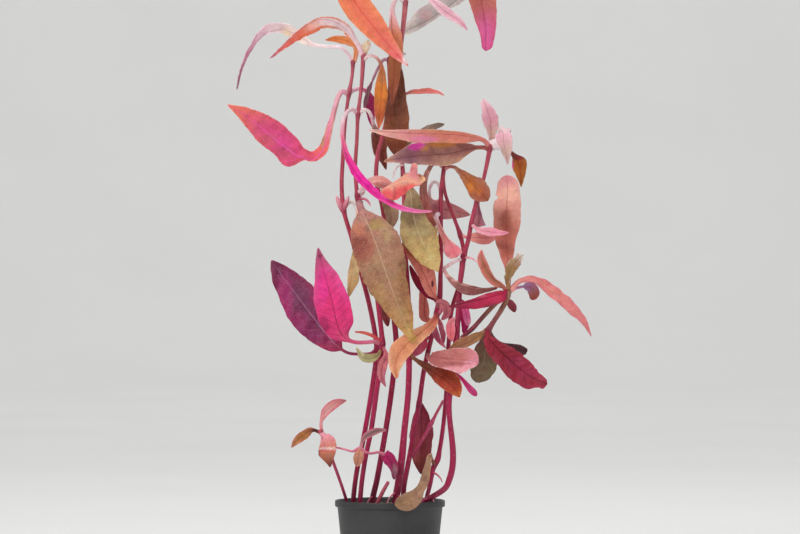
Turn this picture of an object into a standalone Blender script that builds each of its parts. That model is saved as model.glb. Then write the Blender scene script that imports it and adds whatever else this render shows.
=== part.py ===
"""Potted alternanthera sessilis: a red-leaved aquarium plant in a small plain plastic pot.

Run it with blender --background --python part.py, or from Blender's text editor. Units are metres with
+Z up. The origin is the centre of the pot's flat base, and the plant is seen from the front along +Y. The
tables give the growth of the plant in millimetres: each stem as points on its middle line with a radius, and
each leaf as points along its midrib, from the petiole to the tip.
"""
import math

import bmesh
import bpy
from mathutils import Quaternion, Vector

MM = 0.001
COLLECTION_NAME = "Potted Alternanthera Sessilis"
CUTTER_COLLECTION_NAME = "Cutters"
TOWARDS_VIEWER = Vector((0.0, -1.0, 0.0))
# How many times deeper the plant is than the tables give it, front to back
DEPTH_SPREAD = 1.7

# Pot and growing plug, in millimetres
POT_HEIGHT = 50.0
POT_BASE_RADIUS = 21.5
POT_MOUTH_RADIUS = 26.3
POT_WALL = 1.3
POT_FLOOR = 1.6
RIM_RADIUS = 27.5
RIM_DEPTH = 3.2
RIM_ROUNDING = 0.5
TURNING_STEPS = 36
PLUG_TOP = 47.5
PLUG_SIDES = 36
FIT_GAP = 0.3
SOCKET_DEPTH = 12.0
SOCKET_SIDES = 8

# Leaves, in millimetres
LEAF_THICKNESS = 0.75
PETIOLE_WIDTH = 1.8
TIP_WIDTH = 0.9
STATION_STEP = 10.0
PETIOLE_GAP = 0.5
STEM_RING_SMOOTHNESS = 2
LEAST_FACING = 0.3
WELD_DISTANCE = 1e-5

LEAF_COLOURS = {
    "pale pink": (0.86, 0.56, 0.58),
    "coral": (0.84, 0.30, 0.20),
    "magenta": (0.76, 0.10, 0.28),
    "salmon": (0.80, 0.40, 0.34),
    "tan": (0.47, 0.29, 0.19),
    "olive": (0.55, 0.45, 0.24),
    "mauve": (0.50, 0.27, 0.28),
    "crimson": (0.42, 0.03, 0.08),
    "ochre": (0.55, 0.22, 0.07),
    "grey": (0.52, 0.44, 0.47),
}
STEM_COLOUR = (0.30, 0.015, 0.07)
POT_COLOUR = (0.03, 0.03, 0.032)
PLUG_COLOUR = (0.16, 0.12, 0.085)

# Middle line and radius of each stem, foot first
STEMS = {
    "stem_far_left": (
        (-18.5, 5, 36, 1.25), (-18.5, 5, 48.2, 1.25), (-16.5, 5, 65, 1.25), (-14.2, 5, 76, 1.25),
        (-9.5, 5.5, 102.5, 1.3), (-7, 6, 120, 1.35), (-6.5, 6, 125, 1.7), (-7.5, 5.5, 132.5, 1.25),
        (-11, 5, 150, 1.2), (-14.2, 4.5, 162, 1.2), (-19, 4, 180, 1.2), (-23.5, 3.5, 196.5, 1.8),
        (-24.2, 3, 205, 1.25), (-23.6, 3, 222, 1.2), (-22.4, 3, 240, 1.1), (-20.5, 3, 254, 1.5),
        (-19, 3, 262.5, 1.0), (-18.5, 3, 269.5, 1.3),
    ),
    "stem_left": (
        (-15, -4, 36, 1.25), (-15, -4, 48.2, 1.25), (-14, -4, 60, 1.2), (-12.5, -3.5, 70, 1.2),
        (-9.5, -3, 85, 1.25), (-7, -2.5, 102.5, 1.3), (-4.5, -2, 122, 1.3), (-4, -2, 128, 1.8),
        (-5, -1.5, 140, 1.25), (-6.5, -1, 151.5, 1.2), (-10.5, -0.5, 175, 1.2), (-16.2, 0, 201, 1.7),
        (-17.4, 0, 215, 1.15), (-16.6, 0, 230, 1.1), (-16, 0, 243, 1.5), (-14.5, 0, 255, 1.1),
        (-13.3, 0, 272.5, 1.4),
    ),
    "stem_mid_left": (
        (-9, 2, 36, 1.5), (-9, 2, 48.2, 1.5), (-6.5, 2.5, 60, 1.45), (-3.8, 3, 75, 1.4),
        (0.5, 5, 102.5, 1.4), (2, 5.5, 115, 1.4), (3, 6, 130, 1.4), (2.2, 6, 139, 1.4),
        (-1, 5.5, 175, 1.35), (-4, 5, 197.5, 1.35), (-6.9, 4.5, 210, 1.3), (-6.2, 4, 222.5, 1.3),
        (-3, 4, 235, 1.25), (-0.3, 4, 250, 1.2), (-0.3, 4, 271, 1.5),
    ),
    "stem_middle": (
        (2.5, -3, 36, 1.7), (2.5, -3, 48.2, 1.8), (4.2, -3, 58, 1.9), (6, -3, 72, 1.8),
        (7.2, -3, 85, 1.6), (9, -3, 102.5, 1.5), (9.5, -2.5, 123, 1.7), (9.2, -2, 135, 1.4),
        (9, -1, 150, 1.4), (7.5, 0, 175, 1.35), (6.8, 1, 208, 1.6), (5.6, 2, 225, 1.25),
        (4.6, 2, 251, 1.4), (5, 2, 270, 1.15), (7.8, 1.5, 300, 1.6), (8.5, 1, 322.5, 1.5),
        (9, 1, 337, 1.4),
    ),
    "stem_mid_right": (
        (6.5, 4, 36, 1.3), (6.5, 4, 48.2, 1.3), (7, 4, 56.5, 1.3), (8.5, 4, 65, 1.3),
        (10.4, 4, 75, 1.3), (12, 3.5, 85, 1.25), (14.5, 3, 98, 1.4), (17, 2.5, 115, 1.2),
        (21, 1, 132.5, 1.2), (23.5, 0, 144, 1.7), (24.6, -0.5, 150, 1.4), (25.2, -1, 162.5, 1.15),
        (25.3, -2, 193, 1.3), (25.6, -2, 205, 1.3), (27, -2, 216.5, 1.3), (27.8, -2, 224, 0.8),
    ),
    "stem_right": (
        (15.5, -8, 36, 1.3), (15.5, -8, 49.5, 1.3), (21, -8, 52.4, 1.4), (28.2, -8, 57.8, 1.5),
        (29.8, -8, 62, 1.6), (29.5, -7, 100, 1.3), (31.5, -6, 117, 1.4), (33, -6, 129, 1.8),
        (34, -5.5, 145, 1.3), (35.5, -4, 164, 1.3), (36.5, -3.5, 171, 1.7), (38.5, -3.5, 178, 1.2),
        (41.4, -3.5, 192.5, 1.2), (43.5, -3.5, 200, 1.5), (46.5, -3.7, 210, 1.1), (50.1, -4, 227, 1.5),
    ),
    "stem_far_right": (
        (18, 5, 36, 1.1), (18, 5, 48.2, 1.1), (20.2, 5.6, 57.5, 1.1), (22, 6, 66, 1.3),
        (24, 6, 70, 1.5), (25, 6, 75, 1.1), (28, 6, 100, 1.1), (28.5, 6, 107.5, 1.1),
        (29.4, 6, 127.5, 1.1), (31, 5, 145, 1.1), (36, 3.5, 162.5, 1.1), (36.8, 3, 175, 1.1),
        (35.2, 3, 182.5, 1.4), (32.5, 3, 190, 1.0), (27.2, 3, 206, 0.95), (26.8, 3, 214, 0.8),
    ),
    "branch_right": (
        (35.9, -7, 131.6, 1.1), (41.5, -8.5, 136.5, 1.1), (45, -9, 140.5, 1.1), (50, -9.5, 146, 1.15),
        (55, -10, 151, 1.2), (58.6, -10.5, 155, 1.7), (58.2, -10.8, 151.5, 1.3), (55.5, -11, 146, 1.3),
        (52, -11, 140.5, 1.2), (48.5, -10.5, 135, 1.5),
    ),
    "plantlet": (
        (-21.5, -1.5, 36, 0.8), (-21.5, -1.5, 48.2, 0.8), (-23.5, -5, 56, 0.8), (-28, -7, 69, 0.8),
        (-31, -8, 77.5, 0.8), (-34.5, -8.5, 85, 1.1),
    ),
    "side_shoot": (
        (11.4, 1.5, 71.5, 0.8), (14, 0.5, 76.5, 0.8), (17, 0, 81.5, 0.8), (20.5, -0.5, 88, 1.3),
        (23.5, -1, 94, 0.75), (26.5, -1, 99.5, 0.7),
    ),
    "runner": (
        (-29.1, -8, 77, 0.5), (-26.5, -8, 76.8, 0.5), (-22.5, -8.5, 76, 0.5), (-18.5, -8.5, 75, 0.5),
        (-15, -8.5, 76.5, 0.9), (-12, -8.5, 74.5, 0.5), (-9, -8.5, 74, 0.5), (-6, -8, 74.5, 0.5),
        (-3, -8, 73.5, 0.8),
    ),
    "stub_shoot": ((-6.5, -9, 36, 1.0), (-6.5, -9, 48.2, 1.0), (-4, -9, 54, 1.0), (-1, -8.5, 59.5, 0.9)),
}


def leaf(
    stem, height, width, route, neck=0.12, widest=0.45, fullness=0.9, roll=(0,), fold=8, lean=0, tone="salmon"
):
    """One leaf: the stem and the height that it grows from, its full width, and the points of its midrib.

    neck is the petiole's share of the length, widest the widest place along the blade, fullness under 1
    makes the ends blunter, roll turns the blade about its midrib in degrees, spread evenly along it, fold
    raises both halves in degrees, and lean is how far the tip goes back besides, in millimetres.
    """
    return {
        "stem": stem, "height": height, "width": width, "route": route, "neck": neck, "widest": widest,
        "fullness": fullness, "roll": roll, "fold": fold, "lean": lean, "tone": tone,
    }


# Leaves that are pieces of their own
LEAVES = {
    "leaf_top_left_drooping": leaf(
        "stem_far_left", 269, 14,
        ((-20.6, 4, 272.6), (-24, 5, 276.2), (-31, 7, 277.2), (-39, 9, 278.6), (-46, 10, 283),
         (-54, 10, 286.2), (-62, 10, 285), (-69, 9, 278.5), (-74.5, 9, 268), (-77.7, 9, 256.5)),
        neck=0.3, widest=0.36, fullness=1.1, roll=(20, 40, 48, 62, 84, 87), fold=10, lean=16,
        tone="pale pink"),
    "leaf_top_left_twisted": leaf(
        "stem_left", 272, 13,
        ((-15.8, -1, 276.5), (-19, -2, 281.5), (-23, -4, 285.8), (-28, -6, 288.6), (-34, -7, 289.2),
         (-40, -7, 287), (-46, -7, 282.6), (-52, -7, 276.8), (-59, -7, 269.5)),
        neck=0.16, widest=0.35, roll=(20, 58, 66, 100, 115, 100), fold=14, lean=-16, tone="pale pink"),
    "leaf_left_folded": leaf(
        "stem_far_left", 253.5, 14.5,
        ((-22.6, 2, 254.4), (-23.8, 1.6, 254.5), (-25.6, 1.2, 252.6), (-27.5, 0.6, 247.5),
         (-29.5, 0, 240), (-31.5, 0, 231), (-34, 0, 224), (-38.5, 0, 220.4), (-44.5, 0, 221.3),
         (-51, 0.5, 225.3), (-59, 1, 231.5), (-67, 1.5, 238.2), (-75, 2, 243.8), (-81, 2.5, 247.2)),
        neck=0.2, widest=0.58, fullness=1.1, roll=(0, -30, -25, 0, 0, 0), fold=6, lean=-16, tone="magenta"),
    "leaf_magenta_hanging": leaf(
        "stem_far_left", 254.5, 8,
        ((-17.2, 4, 255.6), (-15, 4.4, 256), (-12.4, 5, 255.2), (-10, 6.5, 252), (-9, 8, 246),
         (-8.8, 8.5, 237)),
        neck=0.34, widest=0.45, roll=(0, 20, 40, 40), lean=6, tone="magenta"),
    "leaf_orange_hanging": leaf(
        "stem_left", 270, 8.5,
        ((-11.2, -1.4, 271.7), (-8.4, -2.4, 271.9), (-5.5, -3.6, 269.6), (-3.9, -4.6, 265.5),
         (-3.6, -5.6, 259), (-4.3, -6, 251), (-5, -6, 243), (-5.6, -6, 235)),
        neck=0.3, widest=0.4, roll=(0, 30, 45, 45), lean=-6, tone="ochre"),
    "leaf_brown_hanging": leaf(
        "stem_left", 243.5, 8.5,
        ((-12.8, -0.6, 245.2), (-10.6, -0.4, 244.2), (-9, 0.4, 241), (-8, 3.4, 236.5), (-6.8, 7.2, 231.5),
         (-5, 9, 225.5), (-3.2, 9.4, 220.5), (-2, 9.4, 215.5)),
        neck=0.36, widest=0.35, roll=(0, 10, 10, 10), lean=4, tone="tan"),
    "leaf_magenta_arch": leaf(
        "stem_left", 243.5, 8,
        ((-18.6, -1.6, 245.2), (-20.8, -2.6, 244.3), (-22.8, -3.6, 241), (-23.6, -4.4, 235.5),
         (-23.5, -5, 230), (-22.6, -5.6, 225), (-20.5, -6.4, 219.5), (-17, -7, 213.4),
         (-12.5, -7.4, 207.8), (-7, -7.6, 202.6), (-0.5, -8.4, 198.6), (6, -10, 196), (13, -11.6, 194.4),
         (21, -12.2, 194)),
        neck=0.24, widest=0.35, roll=(30, 60, 72, 74, 66, 60), fold=16, lean=-6, tone="magenta"),
    "leaf_pale_centre": leaf(
        "stem_left", 202, 5,
        ((-13.6, 0.6, 203.2), (-12.6, 0.7, 206.6), (-10.2, 0.6, 209.2), (-7, 0.2, 208.4), (-2, 0, 207),
         (3, -1.4, 207)),
        neck=0.4, widest=0.5, roll=(0, 0, 15), tone="pale pink"),
    "leaf_tan_large": leaf(
        "stem_left", 199.5, 23.5,
        ((-14.8, -3.4, 197.5), (-12.8, -6, 191.5), (-9.4, -8.6, 184.5), (-6.2, -10.2, 176),
         (-2.4, -11, 165), (2.2, -10.8, 152.5), (7, -10, 140), (10, -9, 131.5)),
        neck=0.1, widest=0.4, fullness=0.95, roll=(0, 0, 0), fold=-6, lean=-10, tone="tan"),
    "leaf_yellow_hanging": leaf(
        "stem_far_left", 196.5, 8,
        ((-20.6, 3.8, 198.6), (-18.6, 4.2, 199), (-17, 4, 196.2), (-16.2, 2.8, 190.6), (-16.2, 0.6, 183.5),
         (-16.8, -0.8, 176), (-17.6, -1.4, 168), (-20.7, -2, 151.5)),
        neck=0.34, widest=0.5, roll=(0, 0, -20, -20), tone="olive"),
    "leaf_olive_wide": leaf(
        "stem_middle", 209, 18,
        ((9, -2.4, 207), (10.2, -3.6, 203), (11, -4.8, 196), (12.6, -6.4, 188.6), (15, -7.6, 181.5),
         (18.4, -8.6, 174.6), (21.6, -8.8, 169), (24.2, -8.6, 164)),
        neck=0.12, widest=0.52, fullness=0.65, roll=(0, 0, 0), fold=-5, lean=-4, tone="olive"),
    "leaf_rose_hook": leaf(
        "stem_mid_right", 216.5, 5.5,
        ((24.6, -2.6, 218.3), (22.4, -3.2, 218.4), (20, -4.4, 216), (18, -6, 212.4), (16.8, -7.6, 207),
         (17, -8, 201), (18.5, -8.2, 195.4), (20.5, -8.6, 190.6), (22.5, -9, 186.5)),
        neck=0.2, widest=0.5, roll=(0, 20, 30, 30), lean=-3, tone="tan"),
    "leaf_mauve_centre": leaf(
        "stem_mid_right", 205, 10.5,
        ((23.9, -1, 208.2), (22.2, 0, 209), (20.6, 1, 207.6), (19.7, 2.4, 204), (20.2, 4.6, 199.5),
         (23.4, 6.6, 196.6), (28, 7.4, 195.4), (34, 7.4, 194.4), (40.5, 7, 192.8)),
        neck=0.36, widest=0.3, roll=(0, 0, 0), lean=8, tone="mauve"),
    "leaf_ochre_right": leaf(
        "stem_mid_right", 215.5, 12,
        ((29.4, -3.6, 216.4), (32, -5, 216.2), (35.2, -6.4, 213.6), (39, -7.6, 209.6), (43, -8.2, 205.4),
         (46.6, -8.4, 201.6), (48.6, -8.4, 199.4)),
        neck=0.2, widest=0.62, fullness=0.7, roll=(0, 0, 0), lean=-8, tone="ochre"),
    "leaf_salmon_level": leaf(
        "stem_far_right", 182.5, 6.5,
        ((38, 2.2, 181.6), (42, 1.4, 181.2), (48, 1, 181), (53.5, 0.8, 182.2)),
        neck=0.16, widest=0.5, fullness=0.7, roll=(10, 10), lean=8, tone="salmon"),
    "leaf_salmon_hanging": leaf(
        "stem_mid_right", 193, 8.5,
        ((23.4, -4.2, 192.4), (23.4, -5, 190.6), (24.6, -5.4, 187), (27, -5.6, 182.6), (30, -5.8, 178),
         (33, -6, 173)),
        neck=0.26, widest=0.62, fullness=0.7, roll=(0, 0, 0), tone="salmon"),
    "leaf_salmon_long": leaf(
        "stem_right", 226.6, 8.6,
        ((47.6, -5, 228.8), (44, -6.6, 230.4), (37.5, -8.4, 231.6), (30, -9.4, 232.2), (21.5, -10, 232.5),
         (12.5, -10, 232.5), (5, -10, 232.9), (-2.5, -10, 233.4), (-10.5, -10, 234.2)),
        neck=0.1, widest=0.5, roll=(20, 30, 30), lean=-6, tone="salmon"),
    "leaf_mauve_long": leaf(
        "stem_right", 225.2, 11,
        ((47, -4.2, 225.8), (44, -4.6, 225.9), (38, -5.4, 225), (32, -6.2, 223.4), (24, -6.4, 222.4),
         (15, -6.4, 221.8), (6, -6.4, 220.6), (-3, -6.4, 219)),
        neck=0.12, widest=0.42, roll=(0, 0, 0), tone="mauve"),
    "leaf_ochre_hanging": leaf(
        "stem_right", 224.6, 7.5,
        ((52.4, -2.6, 225.9), (54.6, -2, 226.5), (58, -2, 225.4), (61.6, -2.4, 222.6), (64, -3, 218.6),
         (65.2, -3.4, 213), (65.7, -3.6, 206.5)),
        neck=0.4, widest=0.4, roll=(0, 0, 0), lean=12, tone="ochre"),
    "leaf_pale_folded": leaf(
        "stem_right", 226.4, 9,
        ((51.9, -5, 230), (52.6, -6, 232.2), (54.4, -7.2, 232.6), (56, -8, 230), (57, -8.4, 225.6),
         (58.6, -8.6, 217.5)),
        neck=0.16, widest=0.4, roll=(0, 0, 0), lean=-6, tone="pale pink"),
    "leaf_coral_folded": leaf(
        "stem_middle", 212.5, 10,
        ((9.6, -4, 212.6), (11.6, -7.8, 212.4), (10.4, -11, 210.8), (6, -12.6, 206.4), (1.5, -13, 202.4),
         (-2.6, -13, 198.4)),
        neck=0.16, widest=0.5, fullness=0.8, roll=(0, 0, 0), lean=-6, tone="coral"),
    "leaf_coral_top": leaf(
        "stem_middle", 322.5, 14.5,
        ((5, 0, 324.6), (0, -1.2, 327.6), (-7, -3, 328.4), (-14.4, -5, 325.4), (-19.8, -6.8, 317.6),
         (-20.6, -7.8, 308), (-18.4, -8.2, 300), (-14, -8.4, 293), (-8.5, -8.6, 286), (-3, -8.6, 279),
         (3, -8.6, 272), (9, -8.6, 265.5)),
        neck=0.16, widest=0.5, roll=(0, 20, 0, 0), lean=-14, tone="coral"),
    "leaf_pink_hanging_top": leaf(
        "stem_middle", 299.5, 7,
        ((5.4, 0.6, 302), (3.6, -0.6, 301.6), (2, -2, 298.6), (0.9, -3, 293), (0.9, -3.6, 286),
         (1.8, -4, 277), (2.2, -4, 268), (1.8, -4, 257), (1, -4, 247)),
        neck=0.24, widest=0.4, roll=(0, 10, 20, 10), lean=-2, tone="coral"),
    "leaf_brown_large": leaf(
        "stem_mid_left", 270.5, 12.5,
        ((1.8, 2.6, 271.4), (2.8, 1, 268.6), (3.2, -0.6, 262), (3.4, -1.2, 253), (3.4, -1.4, 244),
         (3.4, -1.4, 234), (3, -1.4, 222)),
        neck=0.1, widest=0.62, roll=(0, 0, 0), fold=-4, tone="tan"),
    "leaf_grey_top": leaf(
        "stem_middle", 322.5, 11.5,
        ((12, 2.6, 325.6), (19, 4, 327.8), (28, 5.4, 326), (35, 6, 319), (37.6, 6, 311), (35.6, 6, 303.6),
         (30, 6, 298), (23, 6, 293.4), (15, 6, 289), (8, 5.8, 285.8), (3.5, 5.6, 283.6)),
        neck=0.3, widest=0.55, fullness=0.8, roll=(0, 0, 0, 0), lean=14, tone="grey"),
    "leaf_pale_top": leaf(
        "stem_middle", 300, 5,
        ((10.6, 0.6, 302.6), (14, -0.2, 303.6), (18, -1.2, 302), (23, -2, 297.6), (29, -2.4, 292.6),
         (34, -2.4, 289), (38.5, -2.4, 284)),
        neck=0.2, widest=0.55, roll=(20, 10, 0), lean=-14, tone="pale pink"),
    "leaf_coral_top_right": leaf(
        "stem_middle", 335, 14.5,
        ((12, 0, 337.6), (19, -1, 340.6), (28, -2.4, 339), (36, -3.6, 331), (41.4, -4.6, 318.6),
         (44.4, -5, 305), (46.4, -5, 293), (47.6, -5, 283), (47.4, -5, 273.5)),
        neck=0.22, widest=0.62, fullness=0.75, roll=(0, 10, 0, 0), lean=-12, tone="coral"),
    "leaf_coral_arched_right": leaf(
        "branch_right", 155, 8.6,
        ((61, -11, 157), (64, -11.4, 159.8), (69, -11.8, 160.8), (74.6, -12, 158.8), (80.4, -12, 154.6),
         (86.2, -12, 149.6), (91.8, -12, 144.2), (96.2, -12, 138.6), (99.2, -12, 132.5)),
        neck=0.16, widest=0.5, roll=(20, 44, 40, 40), lean=-12, tone="salmon"),
    "leaf_olive_ragged": leaf(
        "branch_right", 155, 5.6,
        ((58.4, -11.8, 158.4), (58.6, -12.4, 162), (60.2, -12.8, 166.4), (63, -13, 170),
         (66, -13, 172.6)),
        neck=0.14, widest=0.5, fullness=0.6, roll=(0, 0), lean=-4, tone="olive"),
    "leaf_salmon_upright": leaf(
        "branch_right", 155, 14.2,
        ((59, -8.4, 158.2), (59.2, -7.4, 163), (59, -6.6, 168), (58.4, -5.6, 175), (58, -4.8, 182),
         (58, -4, 190), (58.4, -3.6, 198), (58.8, -3.2, 205), (58.4, -3, 212.5)),
        neck=0.14, widest=0.62, fullness=0.75, roll=(0, 0, 0), fold=-6, lean=10, tone="salmon"),
    "leaf_crimson_centre": leaf(
        "branch_right", 155, 8.6,
        ((56, -12.6, 153.4), (52.5, -12.9, 152.4), (47, -12.6, 150.8), (41, -12, 149.4), (35, -11, 148.2),
         (29, -9.6, 147)),
        neck=0.06, widest=0.26, roll=(0, 10), lean=-5, tone="crimson"),
    "leaf_brown_sweeping": leaf(
        "stem_right", 170.5, 6.6,
        ((32.6, -5.8, 169.4), (29.4, -6.8, 167.4), (27, -8, 165.6), (28.2, -8.8, 163), (31.6, -9.2, 160),
         (37, -9.4, 157.4), (44, -9.4, 155.8), (53.6, -8.4, 156.4)),
        neck=0.32, widest=0.5, roll=(0, 10, 20, 20), tone="mauve"),
    "leaf_salmon_behind": leaf(
        "stem_mid_right", 141.5, 7,
        ((20.6, 2.2, 139.6), (18.2, 3, 140.8), (17.2, 3, 146), (17.4, 3, 152), (18, 3, 158)),
        neck=0.2, widest=0.55, fullness=0.7, roll=(0, 0), lean=5, tone="salmon"),
    "leaf_salmon_holed": leaf(
        "stem_mid_right", 149.5, 11,
        ((22.4, -2.6, 151.8), (19.6, -3.6, 157), (16.8, -4.4, 163.4), (13.4, -4.8, 169), (9.8, -4.8, 174),
         (6, -4.8, 178.6)),
        neck=0.1, widest=0.4, roll=(0, 0), tone="salmon"),
    "leaf_peach_forked": leaf(
        "stem_mid_right", 143.5, 11,
        ((22.8, -3.4, 141.4), (19.4, -6.4, 137.4), (14, -9.6, 133), (8.4, -11.4, 128.2),
         (4.2, -12, 122.8), (2.6, -11.8, 117.4), (3.5, -11, 111.5)),
        neck=0.08, widest=0.6, roll=(0, 0), lean=-9, tone="coral"),
    "leaf_purple_left": leaf(
        "stem_far_left", 124.5, 20.5,
        ((-9.4, 5, 123.2), (-15, 4.4, 122.8), (-21, 3.6, 123.4), (-26, 3, 126.4), (-32, 3, 133),
         (-39.6, 3.4, 142.6), (-46, 4, 151), (-52, 4.6, 159), (-57, 5, 165.6), (-60, 5.4, 170)),
        neck=0.24, widest=0.42, fullness=0.8, roll=(0, 0, 0), lean=12, tone="crimson"),
    "leaf_pink_left": leaf(
        "stem_left", 128.5, 18.5,
        ((-7, -3.6, 129.2), (-12, -4.4, 129), (-17, -5, 129), (-21.2, -5.6, 130.4), (-24.6, -6.4, 134.2),
         (-26.6, -7, 140), (-28.4, -7.6, 148), (-30.8, -8, 157.6), (-33.4, -8.4, 167.4),
         (-35.5, -8.6, 176)),
        neck=0.26, widest=0.42, roll=(0, 0, 0), lean=-10, tone="magenta"),
    "leaf_rust_low": leaf(
        "stem_middle", 122.5, 13,
        ((12, -4, 121), (16, -4.4, 118), (21.6, -4.8, 114.2), (27.6, -7.8, 110.4), (32, -8.8, 106.4),
         (34.6, -9, 102)),
        neck=0.16, widest=0.66, fullness=0.7, roll=(0, 0), lean=-3, tone="ochre"),
    "leaf_salmon_curled": leaf(
        "stem_mid_right", 123.5, 13.4,
        ((19.2, -4.2, 122.4), (20.8, -8.4, 122.2), (25.4, -11, 121.4), (31, -12.2, 121),
         (37.5, -12.6, 120.4), (43.8, -12.4, 119.4)),
        neck=0.14, widest=0.5, fullness=0.7, roll=(0, 0), lean=-8, tone="salmon"),
    "leaf_tan_low": leaf(
        "branch_right", 135.4, 11.5,
        ((45.6, -10.2, 133.4), (41.6, -10, 130.4), (36, -9.8, 127.6), (29.2, -9.4, 124.8)),
        neck=0.12, widest=0.5, fullness=0.8, roll=(0, 0), tone="tan"),
    "leaf_crimson_right": leaf(
        "branch_right", 135, 13.4,
        ((48.8, -12.6, 131.6), (52.2, -12.8, 127.4), (58, -12.8, 121.6), (65, -12.4, 115.6),
         (72, -12, 110.8), (77.6, -12, 108.8)),
        neck=0.06, widest=0.45, fullness=0.65, roll=(0, 0), lean=-6, tone="crimson"),
    "leaf_maroon_right": leaf(
        "branch_right", 135.5, 7,
        ((50.8, -8.6, 132.4), (55, -7.4, 128.8), (61, -6.8, 126.4), (68.8, -6.4, 124.6)),
        neck=0.14, widest=0.62, fullness=0.7, roll=(0, 0), lean=10, tone="crimson"),
    "leaf_olive_low": leaf(
        "branch_right", 135, 14,
        ((48, -8, 132.8), (47.6, -6, 128), (47, -4.6, 121), (45.4, -4, 114.6), (42.6, -4, 109)),
        neck=0.1, widest=0.62, fullness=0.62, roll=(0, 0), lean=5, tone="olive"),
    "leaf_maroon_low": leaf(
        "runner", 73.6, 7,
        ((-1.4, -8, 72.4), (0.4, -7.8, 69.6), (1.6, -7.4, 66), (2, -7, 61)),
        neck=0.1, widest=0.45, fullness=0.7, roll=(0, 0), lean=-4, tone="crimson"),
    "leaf_dark_red_low": leaf(
        "stem_mid_right", 98, 12,
        ((15.2, 5.2, 97.4), (15.6, 6.8, 94), (15.6, 7.4, 86), (15.5, 7.6, 77), (15.5, 7.6, 69),
         (15.5, 7.4, 62)),
        neck=0.06, widest=0.5, fullness=0.8, roll=(0, 0), lean=4, tone="crimson"),
    "leaf_tan_hook": leaf(
        "stem_far_right", 67, 10,
        ((20.8, 2.6, 70.4), (20.2, -1.8, 72.6), (19.9, -5.4, 73), (19.8, -8.4, 71.4), (19.4, -10.8, 66.6),
         (17.6, -13.4, 60), (13.6, -16, 54.8), (8.4, -18, 51.4), (2.4, -18.4, 49.4)),
        neck=0.3, widest=0.72, fullness=0.7, roll=(0, 0, 0, 0), tone="olive"),
}

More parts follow.
